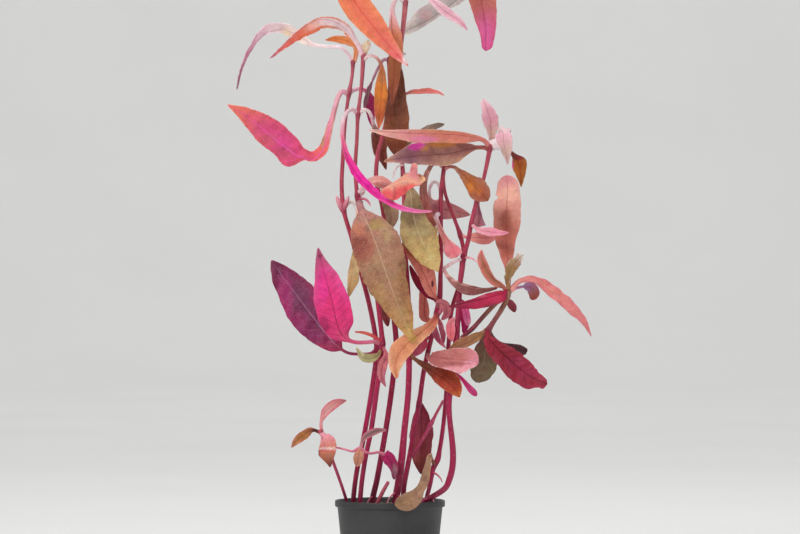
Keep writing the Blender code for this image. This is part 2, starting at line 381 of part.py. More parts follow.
# Small leaves, each in one piece with the stem that it grew on
SMALL_LEAVES = {
    "small_leaf_orange_top": leaf(
        "stem_far_left", 269, 4.5,
        ((-16.6, 2.6, 273), (-17.4, 1.6, 276.8), (-21.4, 1, 279.6), (-26.6, 0.6, 280.6),
         (-32.4, 0.4, 280)),
        neck=0.3, roll=(0, 40), tone="ochre"),
    "small_leaf_cream_bud": leaf(
        "stem_left", 272, 4.5, ((-12.8, 0.4, 275.4), (-11.6, 0.6, 277.6), (-10.4, 0.8, 280)),
        neck=0.1, fullness=0.6, tone="olive"),
    "small_leaf_rose_low": leaf(
        "stem_left", 127, 4.6,
        ((-1.8, -4.4, 122.4), (-3.6, -5.8, 117.4), (-4.2, -6, 112.4), (-2.2, -6, 106.8)),
        neck=0.15, roll=(0, 0), tone="crimson"),
    "small_leaf_yellow_low": leaf(
        "stem_left", 125, 4.4,
        ((-6, -4.6, 122.6), (-9.6, -6.2, 120.8), (-13, -7, 121.4), (-16.2, -7.4, 125)),
        neck=0.12, roll=(0, 0), tone="olive"),
    "small_leaf_mauve_strap": leaf(
        "stem_mid_left", 270.4, 3.6,
        ((-2.6, 3.4, 270.6), (-5.4, 2.6, 266.8), (-8.2, 2.2, 261), (-10.8, 2, 255), (-12.4, 1.9, 250),
         (-12.9, 1.9, 245)),
        neck=0.5, roll=(0, 50, 60), tone="mauve"),
    "small_leaf_coral_dart": leaf(
        "stem_middle", 252.5, 3.6, ((9, 1, 253.6), (17, 0.6, 254.2), (23, 0.4, 253.8), (27, 0.4, 252)),
        neck=0.15, roll=(30, 50), lean=-10, tone="coral"),
    "small_leaf_grey_dart": leaf(
        "stem_middle", 226, 4.6, ((11, 1.6, 229.6), (17, 1.4, 234), (22, 1.2, 237), (27.4, 1, 238.4)),
        neck=0.2, fullness=0.7, roll=(0, 0), lean=10, tone="grey"),
    "small_leaf_tip_left": leaf(
        "stem_middle", 336, 4.2, ((8, -0.4, 341), (6.4, -1, 345), (5.6, -1.4, 350)),
        neck=0.1, tone="coral"),
    "small_leaf_tip_right": leaf(
        "stem_middle", 336, 4.2, ((9.8, 2, 341), (11.6, 2.4, 346), (12.6, 2.4, 351)),
        neck=0.1, tone="pale pink"),
    "small_leaf_mauve_cone": leaf(
        "stem_right", 200.5, 7, ((44.2, -1.4, 196.4), (44.4, -0.6, 191), (44.4, -0.6, 186.6)),
        neck=0.2, widest=0.7, fullness=0.6, roll=(0, 0), tone="mauve"),
    "small_leaf_pink_level": leaf(
        "stem_right", 187.6, 4.6,
        ((44, -5.8, 185.2), (50, -7, 183.8), (55, -7.4, 183.2), (59, -7.4, 183.6)),
        neck=0.12, roll=(20, 30), lean=-8, tone="pale pink"),
    "small_leaf_pale_upright": leaf(
        "stem_right", 226, 8.8,
        ((50.5, -3.4, 232), (50.4, -3, 237), (49.6, -2.8, 242), (48, -2.8, 246.6), (46.4, -2.8, 250.4)),
        neck=0.12, widest=0.5, fullness=0.75, roll=(0, 0), lean=6, tone="pale pink"),
    "small_shoot_magenta": leaf(
        "stem_right", 113.6, 3.4, ((34.2, -4.6, 112.4), (38.4, -4.2, 107.6), (43.4, -4, 102)),
        neck=0.1, widest=0.75, fullness=0.6, roll=(0, 0), lean=4, tone="magenta"),
    "small_leaf_crimson_strap": leaf(
        "stem_right", 149, 4, ((37, -5.4, 146), (38.4, -4.8, 141), (39, -4.2, 137)),
        neck=0.2, fullness=0.6, roll=(0, 0), tone="crimson"),
    "small_leaf_salmon_inner": leaf(
        "stem_right", 140.4, 5,
        ((31.8, -6.4, 140.6), (30.4, -7, 138.4), (30.2, -7.2, 134.6), (30.8, -7, 129.4)),
        neck=0.15, fullness=0.7, roll=(0, 0), tone="salmon"),
    "small_leaf_mauve_lobe": leaf(
        "branch_right", 155, 6,
        ((62, -9.4, 155.8), (66.4, -8.6, 156.8), (70, -8.2, 156.4), (71.6, -8.2, 153.6),
         (70.4, -8.2, 150)),
        neck=0.4, widest=0.5, fullness=0.6, roll=(0, 0), lean=6, tone="mauve"),
    "small_leaf_coral_slim": leaf(
        "branch_right", 154.6, 5,
        ((55.6, -11.4, 157.4), (51.6, -11.8, 160.6), (47.6, -12, 166), (45.4, -12, 171),
         (45.4, -12, 175)),
        neck=0.1, roll=(0, 10), lean=-6, tone="coral"),
    "small_leaf_pink_up": leaf(
        "plantlet", 84.6, 5,
        ((-34.2, -8.4, 89), (-33, -8, 92.6), (-30, -7.6, 96.6), (-26, -7.4, 99), (-21.6, -7.4, 100)),
        neck=0.25, roll=(0, 0), lean=6, tone="pale pink"),
    "small_leaf_orange_left": leaf(
        "plantlet", 84.6, 4.6,
        ((-38.6, -8.6, 85.6), (-42.6, -8.8, 83.2), (-46.4, -9, 80.2), (-48.8, -9, 77)),
        neck=0.15, roll=(0, 0), lean=-4, tone="ochre"),
    "small_leaf_rose_down": leaf(
        "plantlet", 84.2, 9.4,
        ((-33.6, -10.6, 82), (-32.4, -11.4, 78), (-31.2, -11.4, 74), (-29.5, -11, 67.5)),
        neck=0.1, widest=0.5, roll=(0, 0), lean=-4, tone="salmon"),
    "small_leaf_rose_runner": leaf(
        "runner", 76.5, 3.6, ((-13.4, -8.8, 80.6), (-10, -9, 83.8), (-6, -9, 85.4), (-1.6, -9, 85.8)),
        neck=0.2, roll=(0, 0), lean=-4, tone="pale pink"),
    "small_leaf_tan_runner": leaf(
        "runner", 76.4, 5, ((-15.2, -9.6, 74.4), (-15.6, -9.8, 71.4), (-16.4, -9.8, 67.4)),
        neck=0.1, fullness=0.7, roll=(0, 0), tone="tan"),
}


def clear_scene():
    """Remove the objects of the opened file."""
    for obj in list(bpy.data.objects):
        bpy.data.objects.remove(obj, do_unlink=True)


def make_collection(name):
    """A collection in the scene."""
    collection = bpy.data.collections.new(name)
    bpy.context.scene.collection.children.link(collection)
    return collection


def make_material(name, colour, roughness):
    """A plain Principled material."""
    material = bpy.data.materials.new(name)
    material.use_nodes = True
    shader = material.node_tree.nodes["Principled BSDF"]
    shader.inputs["Base Color"].default_value = (*colour, 1.0)
    shader.inputs["Roughness"].default_value = roughness
    shader.inputs["Metallic"].default_value = 0.0
    return material


def add_object(name, mesh, collection, material):
    """A mesh object with one material, in the given collection."""
    obj = bpy.data.objects.new(name, mesh)
    collection.objects.link(obj)
    mesh.materials.append(material)
    return obj


def route_lengths(points):
    """Distance along the route at each point."""
    lengths = [0.0]
    for start, end in zip(points, points[1:]):
        lengths.append(lengths[-1] + (end - start).length)
    return lengths


def slope_at(points, lengths, i):
    """Slope of the smooth curve at one of its points."""
    low, high = max(i - 1, 0), min(i + 1, len(points) - 1)
    if i in (low, high):
        return (points[high] - points[low]) / (lengths[high] - lengths[low])
    before = (points[i] - points[low]) / (lengths[i] - lengths[low])
    after = (points[high] - points[i]) / (lengths[high] - lengths[i])
    share = (lengths[i] - lengths[low]) / (lengths[high] - lengths[low])
    return before * (1.0 - share) + after * share


def place_and_direction(points, lengths, distance):
    """Place and direction at a distance along the smooth curve through the points."""
    last = len(points) - 1
    span = next((i for i in range(last) if distance <= lengths[i + 1]), last - 1)
    size = lengths[span + 1] - lengths[span]
    t = (distance - lengths[span]) / size
    start, end = points[span], points[span + 1]
    leave, arrive = slope_at(points, lengths, span) * size, slope_at(points, lengths, span + 1) * size
    place = start * (2 * t**3 - 3 * t**2 + 1) + end * (3 * t**2 - 2 * t**3)
    place += leave * (t**3 - 2 * t**2 + t) + arrive * (t**3 - t**2)
    direction = (end - start) * (6 * t - 6 * t**2)
    direction += leave * (3 * t**2 - 4 * t + 1) + arrive * (3 * t**2 - 2 * t)
    return place, direction.normalized()


def deepened(x, y, z):
    """A point of the tables at its full depth."""
    return Vector((x, y * DEPTH_SPREAD, z))


def stem_section(stem, height):
    """Middle and radius of a stem where it last passes a height."""
    points = STEMS[stem]
    for lower, upper in reversed(list(zip(points, points[1:]))):
        if min(lower[2], upper[2]) <= height <= max(lower[2], upper[2]):
            share = (height - lower[2]) / (upper[2] - lower[2])
            middle = deepened(*lower[:3]).lerp(deepened(*upper[:3]), share)
            return middle, lower[3] + (upper[3] - lower[3]) * share
    raise ValueError(f"{stem} never passes {height} mm")


def leaf_points(entry, fused):
    """Midrib points of a leaf, which starts in its stem if fused and else beside it, and its way out."""
    centre, radius = stem_section(entry["stem"], entry["height"])
    route = [deepened(*point) for point in entry["route"]]
    outward = route[0] - centre
    outward.z = 0.0
    outward.normalize()
    points = [centre if fused else centre + outward * (radius + PETIOLE_GAP)] + route
    lengths = route_lengths(points)
    for point, place in zip(points, lengths):
        point.y += entry["lean"] * (place / lengths[-1]) ** 2
    return points, outward


def stations(points, lengths):
    """Distances at which a leaf gets a row of vertices: every point, and places between far points."""
    places = [0.0]
    for start, end in zip(lengths, lengths[1:]):
        parts = max(1, round((end - start) / STATION_STEP))
        places += [start + (end - start) * part / parts for part in range(1, parts + 1)]
    return places


def half_width(entry, share):
    """Half the leaf's width at a share of its length: a narrow petiole, then the blade."""
    narrow = (PETIOLE_WIDTH + (TIP_WIDTH - PETIOLE_WIDTH) * share) / 2.0
    if share <= entry["neck"]:
        return narrow
    blade = (share - entry["neck"]) / (1.0 - entry["neck"])
    bend = math.log(0.5) / math.log(entry["widest"])
    outline = math.sin(math.pi * min(blade**bend, 1.0)) ** entry["fullness"]
    return narrow + (entry["width"] / 2.0 - narrow) * outline


def spread_value(values, share):
    """A value from a few that are spread evenly along a leaf."""
    if len(values) == 1:
        return values[0]
    place = share * (len(values) - 1)
    low = min(int(place), len(values) - 2)
    return values[low] + (values[low + 1] - values[low]) * (place - low)


def leaf_mesh(name, entry, fused):
    """An open grid bent along the midrib: two columns of faces, one for each half of the blade."""
    points, outward = leaf_points(entry, fused)
    lengths = route_lengths(points)
    places = stations(points, lengths)
    rows = []
    facing = TOWARDS_VIEWER
    for place in places:
        share = place / lengths[-1]
        middle, direction = place_and_direction(points, lengths, place)
        if not rows and not fused:
            direction = outward
        wanted = TOWARDS_VIEWER - direction * direction.dot(TOWARDS_VIEWER)
        if wanted.length < LEAST_FACING:
            wanted = facing - direction * direction.dot(facing)
        facing = wanted.normalized()
        turn = Quaternion(direction, -math.radians(spread_value(entry["roll"], share)))
        face = turn @ facing
        side = direction.cross(face)
        half = half_width(entry, share)
        lift = math.radians(entry["fold"])
        out, up = side * half * math.cos(lift), face * half * math.sin(lift)
        rows.append([middle - out + up, middle, middle + out + up])
    bm = bmesh.new()
    bmesh.ops.create_grid(bm, x_segments=2, y_segments=len(rows) - 1, size=1.0)
    for vertex in bm.verts:
        column = round(vertex.co.x + 1.0)
        row = round((vertex.co.y + 1.0) / 2.0 * (len(rows) - 1))
        vertex.co = rows[row][column] * MM
    mesh = bpy.data.meshes.new(name)
    bm.to_mesh(mesh)
    bm.free()
    mesh.shade_smooth()
    return mesh


def make_leaf(name, entry, collection, materials, fused=False):
    """A thin leaf: the bent grid with an even thickness."""
    leaf_object = add_object(name, leaf_mesh(name, entry, fused), collection, materials[entry["tone"]])
    thickness = leaf_object.modifiers.new("Thickness", "SOLIDIFY")
    thickness.thickness = LEAF_THICKNESS * MM
    thickness.offset = 0.0
    return leaf_object


def make_stem(name, points, collection, material):
    """A stem as a tube along its middle line, thicker at its nodes, made a closed mesh."""
    curve = bpy.data.curves.new(name, "CURVE")
    curve.dimensions = "3D"
    curve.bevel_depth = MM
    curve.bevel_resolution = STEM_RING_SMOOTHNESS
    curve.use_fill_caps = True
    spline = curve.splines.new("POLY")
    spline.points.add(len(points) - 1)
    for point, (x, y, z, radius) in zip(spline.points, points):
        point.co = (*(deepened(x, y, z) * MM), 1.0)
        point.radius = radius
    tube = bpy.data.objects.new(name + "_curve", curve)
    collection.objects.link(tube)
    evaluated = tube.evaluated_get(bpy.context.evaluated_depsgraph_get())
    mesh = bpy.data.meshes.new_from_object(evaluated)
    mesh.name = name
    bm = bmesh.new()
    bm.from_mesh(mesh)
    bmesh.ops.remove_doubles(bm, verts=bm.verts, dist=WELD_DISTANCE)
    bm.to_mesh(mesh)
    bm.free()
    stem = add_object(name, mesh, collection, material)
    stem.matrix_world = tube.matrix_world
    bpy.data.objects.remove(tube, do_unlink=True)
    mesh.shade_smooth()
    return stem


def join_small_leaf(stem, small_leaf):
    """Grow a small leaf in one piece with its stem."""
    hide_cutter(small_leaf)
    joint = stem.modifiers.new(small_leaf.name, "BOOLEAN")
    joint.operation = "UNION"
    joint.solver = "EXACT"
    joint.object = small_leaf


def hide_cutter(cutter):
    """Keep a helper out of the picture."""
    cutter.hide_render = True
    cutter.display_type = "WIRE"


def make_turned(name, profile, collection, material):
    """A closed turned shape from a profile that starts and ends on the axis."""
    mesh = bpy.data.meshes.new(name)
    edges = [(i, i + 1) for i in range(len(profile) - 1)]
    mesh.from_pydata([(radius * MM, 0.0, height * MM) for radius, height in profile], edges, [])
    turned = add_object(name, mesh, collection, material)
    screw = turned.modifiers.new("Turn", "SCREW")
    screw.axis = "Z"
    screw.angle = math.tau
    screw.steps = TURNING_STEPS
    screw.render_steps = TURNING_STEPS
    screw.use_merge_vertices = True
    screw.merge_threshold = WELD_DISTANCE
    screw.use_smooth_shade = True
    return turned


def pot_radius(height):
    """Outer radius of the pot's tapered wall at a height."""
    share = height / (POT_HEIGHT - RIM_DEPTH)
    return POT_BASE_RADIUS + (POT_MOUTH_RADIUS - POT_BASE_RADIUS) * share


def make_pot(collection, material):
    """The plain tapered pot with a short thickened rim and a flat base."""
    rim_base = POT_HEIGHT - RIM_DEPTH
    mouth = POT_MOUTH_RADIUS - POT_WALL
    profile = (
        (0.0, POT_FLOOR),
        (pot_radius(POT_FLOOR) - POT_WALL, POT_FLOOR),
        (mouth, rim_base),
        (mouth + RIM_ROUNDING, POT_HEIGHT - RIM_ROUNDING),
        (mouth + 2 * RIM_ROUNDING, POT_HEIGHT),
        (RIM_RADIUS - RIM_ROUNDING, POT_HEIGHT),
        (RIM_RADIUS, POT_HEIGHT - RIM_ROUNDING),
        (RIM_RADIUS, rim_base + RIM_ROUNDING),
        (RIM_RADIUS - RIM_ROUNDING, rim_base),
        (POT_MOUTH_RADIUS, rim_base),
        (POT_BASE_RADIUS, RIM_ROUNDING),
        (POT_BASE_RADIUS - RIM_ROUNDING, 0.0),
        (0.0, 0.0),
    )
    return make_turned("pot", profile, collection, material)


def make_plug(collection, cutters, material):
    """The growing plug, a tapered round block with a socket for the foot of each rooted stem."""
    low = POT_FLOOR + FIT_GAP
    clearance = POT_WALL + FIT_GAP
    bm = bmesh.new()
    bmesh.ops.create_cone(
        bm, cap_ends=True, segments=PLUG_SIDES, radius1=(pot_radius(low) - clearance) * MM,
        radius2=(pot_radius(PLUG_TOP) - clearance - FIT_GAP) * MM, depth=(PLUG_TOP - low) * MM)
    bmesh.ops.translate(bm, verts=bm.verts, vec=(0.0, 0.0, (PLUG_TOP + low) / 2.0 * MM))
    mesh = bpy.data.meshes.new("growing_plug")
    bm.to_mesh(mesh)
    bm.free()
    plug = add_object("growing_plug", mesh, collection, material)
    for name, points in STEMS.items():
        x, y, foot, radius = points[0]
        if foot > PLUG_TOP:
            continue
        floor = PLUG_TOP - SOCKET_DEPTH
        bm = bmesh.new()
        bmesh.ops.create_cone(
            bm, cap_ends=True, segments=SOCKET_SIDES, radius1=(radius + 2 * FIT_GAP) * MM,
            radius2=(radius + 2 * FIT_GAP) * MM, depth=2 * SOCKET_DEPTH * MM)
        bmesh.ops.translate(bm, verts=bm.verts, vec=deepened(x, y, floor + SOCKET_DEPTH) * MM)
        socket_mesh = bpy.data.meshes.new("socket_" + name)
        bm.to_mesh(socket_mesh)
        bm.free()
        socket = add_object("socket_" + name, socket_mesh, cutters, material)
        hide_cutter(socket)
        cut = plug.modifiers.new(name, "BOOLEAN")
        cut.operation = "DIFFERENCE"
        cut.solver = "EXACT"
        cut.object = socket
    return plug


def main():
    """Build the pot, the plug, the stems and the leaves."""
    clear_scene()
    parts = make_collection(COLLECTION_NAME)
    cutters = make_collection(CUTTER_COLLECTION_NAME)
    leaf_materials = {}
    for tone, colour in LEAF_COLOURS.items():
        leaf_materials[tone] = make_material(tone + " leaf", colour, 0.45)
    stem_material = make_material("red stem", STEM_COLOUR, 0.35)
    make_pot(parts, make_material("pot plastic", POT_COLOUR, 0.45))
    make_plug(parts, cutters, make_material("mineral wool", PLUG_COLOUR, 0.95))
    stems = {name: make_stem(name, points, parts, stem_material) for name, points in STEMS.items()}
    for name, entry in LEAVES.items():
        make_leaf(name, entry, parts, leaf_materials)
    for name, entry in SMALL_LEAVES.items():
        small_leaf = make_leaf(name, entry, cutters, leaf_materials, fused=True)
        join_small_leaf(stems[entry["stem"]], small_leaf)


main()
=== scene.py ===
"""Potted alternanthera sessilis: the detailed look of a red-leaved aquarium plant in a small plain pot.

The tables give the growth of the plant in millimetres, as the solids have it: each stem as points on its
middle line with a radius, and each leaf as points along its midrib, from the petiole to the tip, with the
colours and the small shapes of its blade. Numbers and colour codes are written as text, with spaces between
them and a comma between two points.
"""
import math
import zlib

import bpy
import numpy as np
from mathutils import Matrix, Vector


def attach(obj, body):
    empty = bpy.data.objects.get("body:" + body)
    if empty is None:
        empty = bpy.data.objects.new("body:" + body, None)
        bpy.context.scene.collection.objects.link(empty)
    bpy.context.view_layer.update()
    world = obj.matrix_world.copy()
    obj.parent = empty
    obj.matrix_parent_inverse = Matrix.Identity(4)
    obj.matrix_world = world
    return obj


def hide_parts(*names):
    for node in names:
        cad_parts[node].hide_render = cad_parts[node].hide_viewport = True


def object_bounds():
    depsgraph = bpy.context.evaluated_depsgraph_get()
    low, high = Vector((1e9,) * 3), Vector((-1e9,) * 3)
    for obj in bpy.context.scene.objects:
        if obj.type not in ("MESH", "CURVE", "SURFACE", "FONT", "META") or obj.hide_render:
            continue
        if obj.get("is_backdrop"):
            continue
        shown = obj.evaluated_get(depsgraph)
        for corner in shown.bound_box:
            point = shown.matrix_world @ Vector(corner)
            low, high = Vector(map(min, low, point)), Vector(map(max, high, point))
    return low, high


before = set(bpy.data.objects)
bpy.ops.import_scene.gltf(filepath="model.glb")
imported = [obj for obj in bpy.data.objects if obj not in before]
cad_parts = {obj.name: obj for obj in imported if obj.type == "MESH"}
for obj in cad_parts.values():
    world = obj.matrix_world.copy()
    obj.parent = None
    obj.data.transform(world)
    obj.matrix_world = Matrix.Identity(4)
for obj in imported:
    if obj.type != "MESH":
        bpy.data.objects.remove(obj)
CAD_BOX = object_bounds()

bl_info = {
    "name": "Potted Alternanthera Sessilis",
    "version": (1, 0, 0),
    "blender": (4, 5, 0),
    "location": "View3D > Sidebar > Plant",
    "description": "Makes the leaves, stems, pot and studio of a red-leaved aquarium plant",
    "category": "Object",
}

MM = 0.001
TOWARDS_VIEWER = Vector((0.0, -1.0, 0.0))
# How many times deeper the plant is than the tables give it, front to back
DEPTH_SPREAD = 1.7
# Double vertices of a seam or a pole lie closer than this, in metres
MERGE_DISTANCE = 1e-6

# Pot and growing plug, in millimetres
POT_HEIGHT = 50.0
POT_BASE_RADIUS = 21.5
POT_MOUTH_RADIUS = 26.3
POT_WALL = 1.3
POT_FLOOR = 1.6
RIM_RADIUS = 27.5
RIM_DEPTH = 3.2
PLUG_TOP = 47.5
FIT_GAP = 0.3
# The ring that the pot stands on, and how far the base rises inside it
FOOT_WIDTH = 3.0
BASE_RISE = 0.5
CORNER_RADIUS = 0.6
CORNER_STEPS = 5
# Edges of the pot that turn by more than this stay sharp, in degrees
SHARP_ANGLE = 40.0
POT_SEGMENTS = 128
PLUG_SEGMENTS = 120
# How far one loose fibre of the plug goes on at each of its steps
FIBRE_STEP = 0.85
FIBRE_STEPS = 6

# The studio floor, which bends up to a wall all round, in millimetres
FLOOR_RADIUS = 3200.0
FLOOR_BEND = 1800.0
WALL_TOP = 4200.0
FLOOR_SEGMENTS = 96

# The camera, whose place is in metres and whose film is in millimetres
CAMERA_SIDEWAYS = 0.005
CAMERA_HEIGHT = 0.1665
FOCAL_LENGTH = 180.0
FILM_WIDTH = 36.0
FARTHEST_SEEN = 200.0
# What the lamps in front of the plant point at, in metres
LAMP_AIM = (0.0, 0.0, 0.18)

# Leaves, in millimetres
PETIOLE_WIDTH = 1.4
TIP_WIDTH = 0.3
ROW_STEP = 0.8
VEIN_SPACING = 3.4
DENT_SIZE = 11.0
# Columns of a leaf's grid as shares of its half width
COLUMNS = np.array((-1, -0.95, -0.86, -0.73, -0.58, -0.42, -0.26, -0.12, 0,
                    0.12, 0.26, 0.42, 0.58, 0.73, 0.86, 0.95, 1.0))
# How far a side vein starts towards the tip for each millimetre out from the midrib
VEIN_SLANT = 0.85
# How far each half of a petiole is rolled up, in degrees
PETIOLE_CURL = 105.0
# Below this share a row is too nearly end-on to face the viewer, and keeps the facing of the row before
LEAST_FACING = 0.3
# Where a petiole starts inside its stem, as a share of the stem's radius
ROOT_SHARE = 0.55
# How far the underside leans to its own colour
UNDERSIDE_SHARE = 0.28
# Slow and quick unevenness of the margin as shares of the half width
SLOW_UNEVENNESS = 0.06
QUICK_UNEVENNESS = 0.04
# How much wider a petiole is at its stem, as a share, and how far that reaches
FOOT_FLARE = 0.5
FOOT_REACH = 1.3
# The groove along the midrib, the ripple of the side veins and the thickening of the midrib
GROOVE_DEPTH = 0.2
GROOVE_REACH = 0.5
RIPPLE_HEIGHT = 0.14
RIB_THICKENING = 0.35
RIB_REACH = 0.6
# Narrower leaves have lower waves and a shallower groove
FULL_WAVE_WIDTH = 9.0
FULL_GROOVE_WIDTH = 8.0
DENT_COUNT = 7
# Less roll than this in radians a millimetre counts as this much
LEAST_ROLL = 1e-4

# Stems and strands, in millimetres
STEM_STEP = 0.9
STEM_SIDES = 16
STRAND_STEP = 0.5
STRAND_SIDES = 10
STRAND_RIDGE = 0.04
SWELLING_REACH = 2.4
COLLAR_REACH = 1.1
CREASE_REACH = 0.5
CREASE_BELOW = 2.2
CREASE_DEPTH = 0.1
# How much thinner the stems are at the top, and between which heights they thin
TOP_THINNING = 0.16
THINNING_FROM = 150.0
THINNING_TO = 225.0
# Length of a tube's rounded end as a share of its radius, and its rings' distances as shares of that length
CAP_LENGTH = 0.8
CAP_RINGS = np.array((1.0, 0.92, 0.72, 0.4))
# Colour of the bands at the nodes, their strength, their half height and how far below the node they lie
NODE_TINT = "6c1030"
NODE_TINT_SHARE = 0.35
NODE_BAND = 1.6
NODE_BAND_BELOW = 0.8


def numbers(text):
    """The numbers in a text."""
    return [float(part) for part in text.split()]


def rows(text):
    """The rows of numbers in a text, with a comma between two rows."""
    return [numbers(row) for row in text.split(",")]


# Middle line and radius of each stem, foot first
STEMS = {
    "stem_far_left": rows(
        "-18.5 5 36 1.25, -18.5 5 48.2 1.25, -16.5 5 65 1.25, -14.2 5 76 1.25, -9.5 5.5 102.5 1.3, "
        "-7 6 120 1.35, -6.5 6 125 1.7, -7.5 5.5 132.5 1.25, -11 5 150 1.2, -14.2 4.5 162 1.2, "
        "-19 4 180 1.2, -23.5 3.5 196.5 1.8, -24.2 3 205 1.25, -23.6 3 222 1.2, -22.4 3 240 1.1, "
        "-20.5 3 254 1.5, -19 3 262.5 1, -18.5 3 269.5 1.3"),
    "stem_left": rows(
        "-15 -4 36 1.25, -15 -4 48.2 1.25, -14 -4 60 1.2, -12.5 -3.5 70 1.2, -9.5 -3 85 1.25, "
        "-7 -2.5 102.5 1.3, -4.5 -2 122 1.3, -4 -2 128 1.8, -5 -1.5 140 1.25, -6.5 -1 151.5 1.2, "
        "-10.5 -0.5 175 1.2, -16.2 0 201 1.7, -17.4 0 215 1.15, -16.6 0 230 1.1, -16 0 243 1.5, "
        "-14.5 0 255 1.1, -13.3 0 272.5 1.4"),
    "stem_mid_left": rows(
        "-9 2 36 1.5, -9 2 48.2 1.5, -6.5 2.5 60 1.45, -3.8 3 75 1.4, 0.5 5 102.5 1.4, 2 5.5 115 1.4, "
        "3 6 130 1.4, 2.2 6 139 1.4, -1 5.5 175 1.35, -4 5 197.5 1.35, -6.9 4.5 210 1.3, -6.2 4 222.5 1.3, "
        "-3 4 235 1.25, -0.3 4 250 1.2, -0.3 4 271 1.5"),
    "stem_middle": rows(
        "2.5 -3 36 1.7, 2.5 -3 48.2 1.8, 4.2 -3 58 1.9, 6 -3 72 1.8, 7.2 -3 85 1.6, 9 -3 102.5 1.5, "
        "9.5 -2.5 123 1.7, 9.2 -2 135 1.4, 9 -1 150 1.4, 7.5 0 175 1.35, 6.8 1 208 1.6, 5.6 2 225 1.25, "
        "4.6 2 251 1.4, 5 2 270 1.15, 7.8 1.5 300 1.6, 8.5 1 322.5 1.5, 9 1 337 1.4"),
    "stem_mid_right": rows(
        "6.5 4 36 1.3, 6.5 4 48.2 1.3, 7 4 56.5 1.3, 8.5 4 65 1.3, 10.4 4 75 1.3, 12 3.5 85 1.25, "
        "14.5 3 98 1.4, 17 2.5 115 1.2, 21 1 132.5 1.2, 23.5 0 144 1.7, 24.6 -0.5 150 1.4, "
        "25.2 -1 162.5 1.15, 25.3 -2 193 1.3, 25.6 -2 205 1.3, 27 -2 216.5 1.3, 27.8 -2 224 0.8"),
    "stem_right": rows(
        "15.5 -8 36 1.3, 15.5 -8 49.5 1.3, 21 -8 52.4 1.4, 28.2 -8 57.8 1.5, 29.8 -8 62 1.6, "
        "29.5 -7 100 1.3, 31.5 -6 117 1.4, 33 -6 129 1.8, 34 -5.5 145 1.3, 35.5 -4 164 1.3, "
        "36.5 -3.5 171 1.7, 38.5 -3.5 178 1.2, 41.4 -3.5 192.5 1.2, 43.5 -3.5 200 1.5, 46.5 -3.7 210 1.1, "
        "50.1 -4 227 1.5"),
    "stem_far_right": rows(
        "18 5 36 1.1, 18 5 48.2 1.1, 20.2 5.6 57.5 1.1, 22 6 66 1.3, 24 6 70 1.5, 25 6 75 1.1, "
        "28 6 100 1.1, 28.5 6 107.5 1.1, 29.4 6 127.5 1.1, 31 5 145 1.1, 36 3.5 162.5 1.1, 36.8 3 175 1.1, "
        "35.2 3 182.5 1.4, 32.5 3 190 1, 27.2 3 206 0.95, 26.8 3 214 0.8"),
    "branch_right": rows(
        "35.9 -7 131.6 1.1, 41.5 -8.5 136.5 1.1, 45 -9 140.5 1.1, 50 -9.5 146 1.15, 55 -10 151 1.2, "
        "58.6 -10.5 155 1.7, 58.2 -10.8 151.5 1.3, 55.5 -11 146 1.3, 52 -11 140.5 1.2, 48.5 -10.5 135 1.5"),
    "plantlet": rows(
        "-21.5 -1.5 36 0.8, -21.5 -1.5 48.2 0.8, -23.5 -5 56 0.8, -28 -7 69 0.8, -31 -8 77.5 0.8, "
        "-34.5 -8.5 85 1.1"),
    "side_shoot": rows(
        "11.4 1.5 71.5 0.8, 14 0.5 76.5 0.8, 17 0 81.5 0.8, 20.5 -0.5 88 1.3, 23.5 -1 94 0.75, "
        "26.5 -1 99.5 0.7"),
    "runner": rows(
        "-29.1 -8 77 0.5, -26.5 -8 76.8 0.5, -22.5 -8.5 76 0.5, -18.5 -8.5 75 0.5, -15 -8.5 76.5 0.9, "
        "-12 -8.5 74.5 0.5, -9 -8.5 74 0.5, -6 -8 74.5 0.5, -3 -8 73.5 0.8"),
    "stub_shoot": rows("-6.5 -9 36 1, -6.5 -9 48.2 1, -4 -9 54 1, -1 -8.5 59.5 0.9"),
}


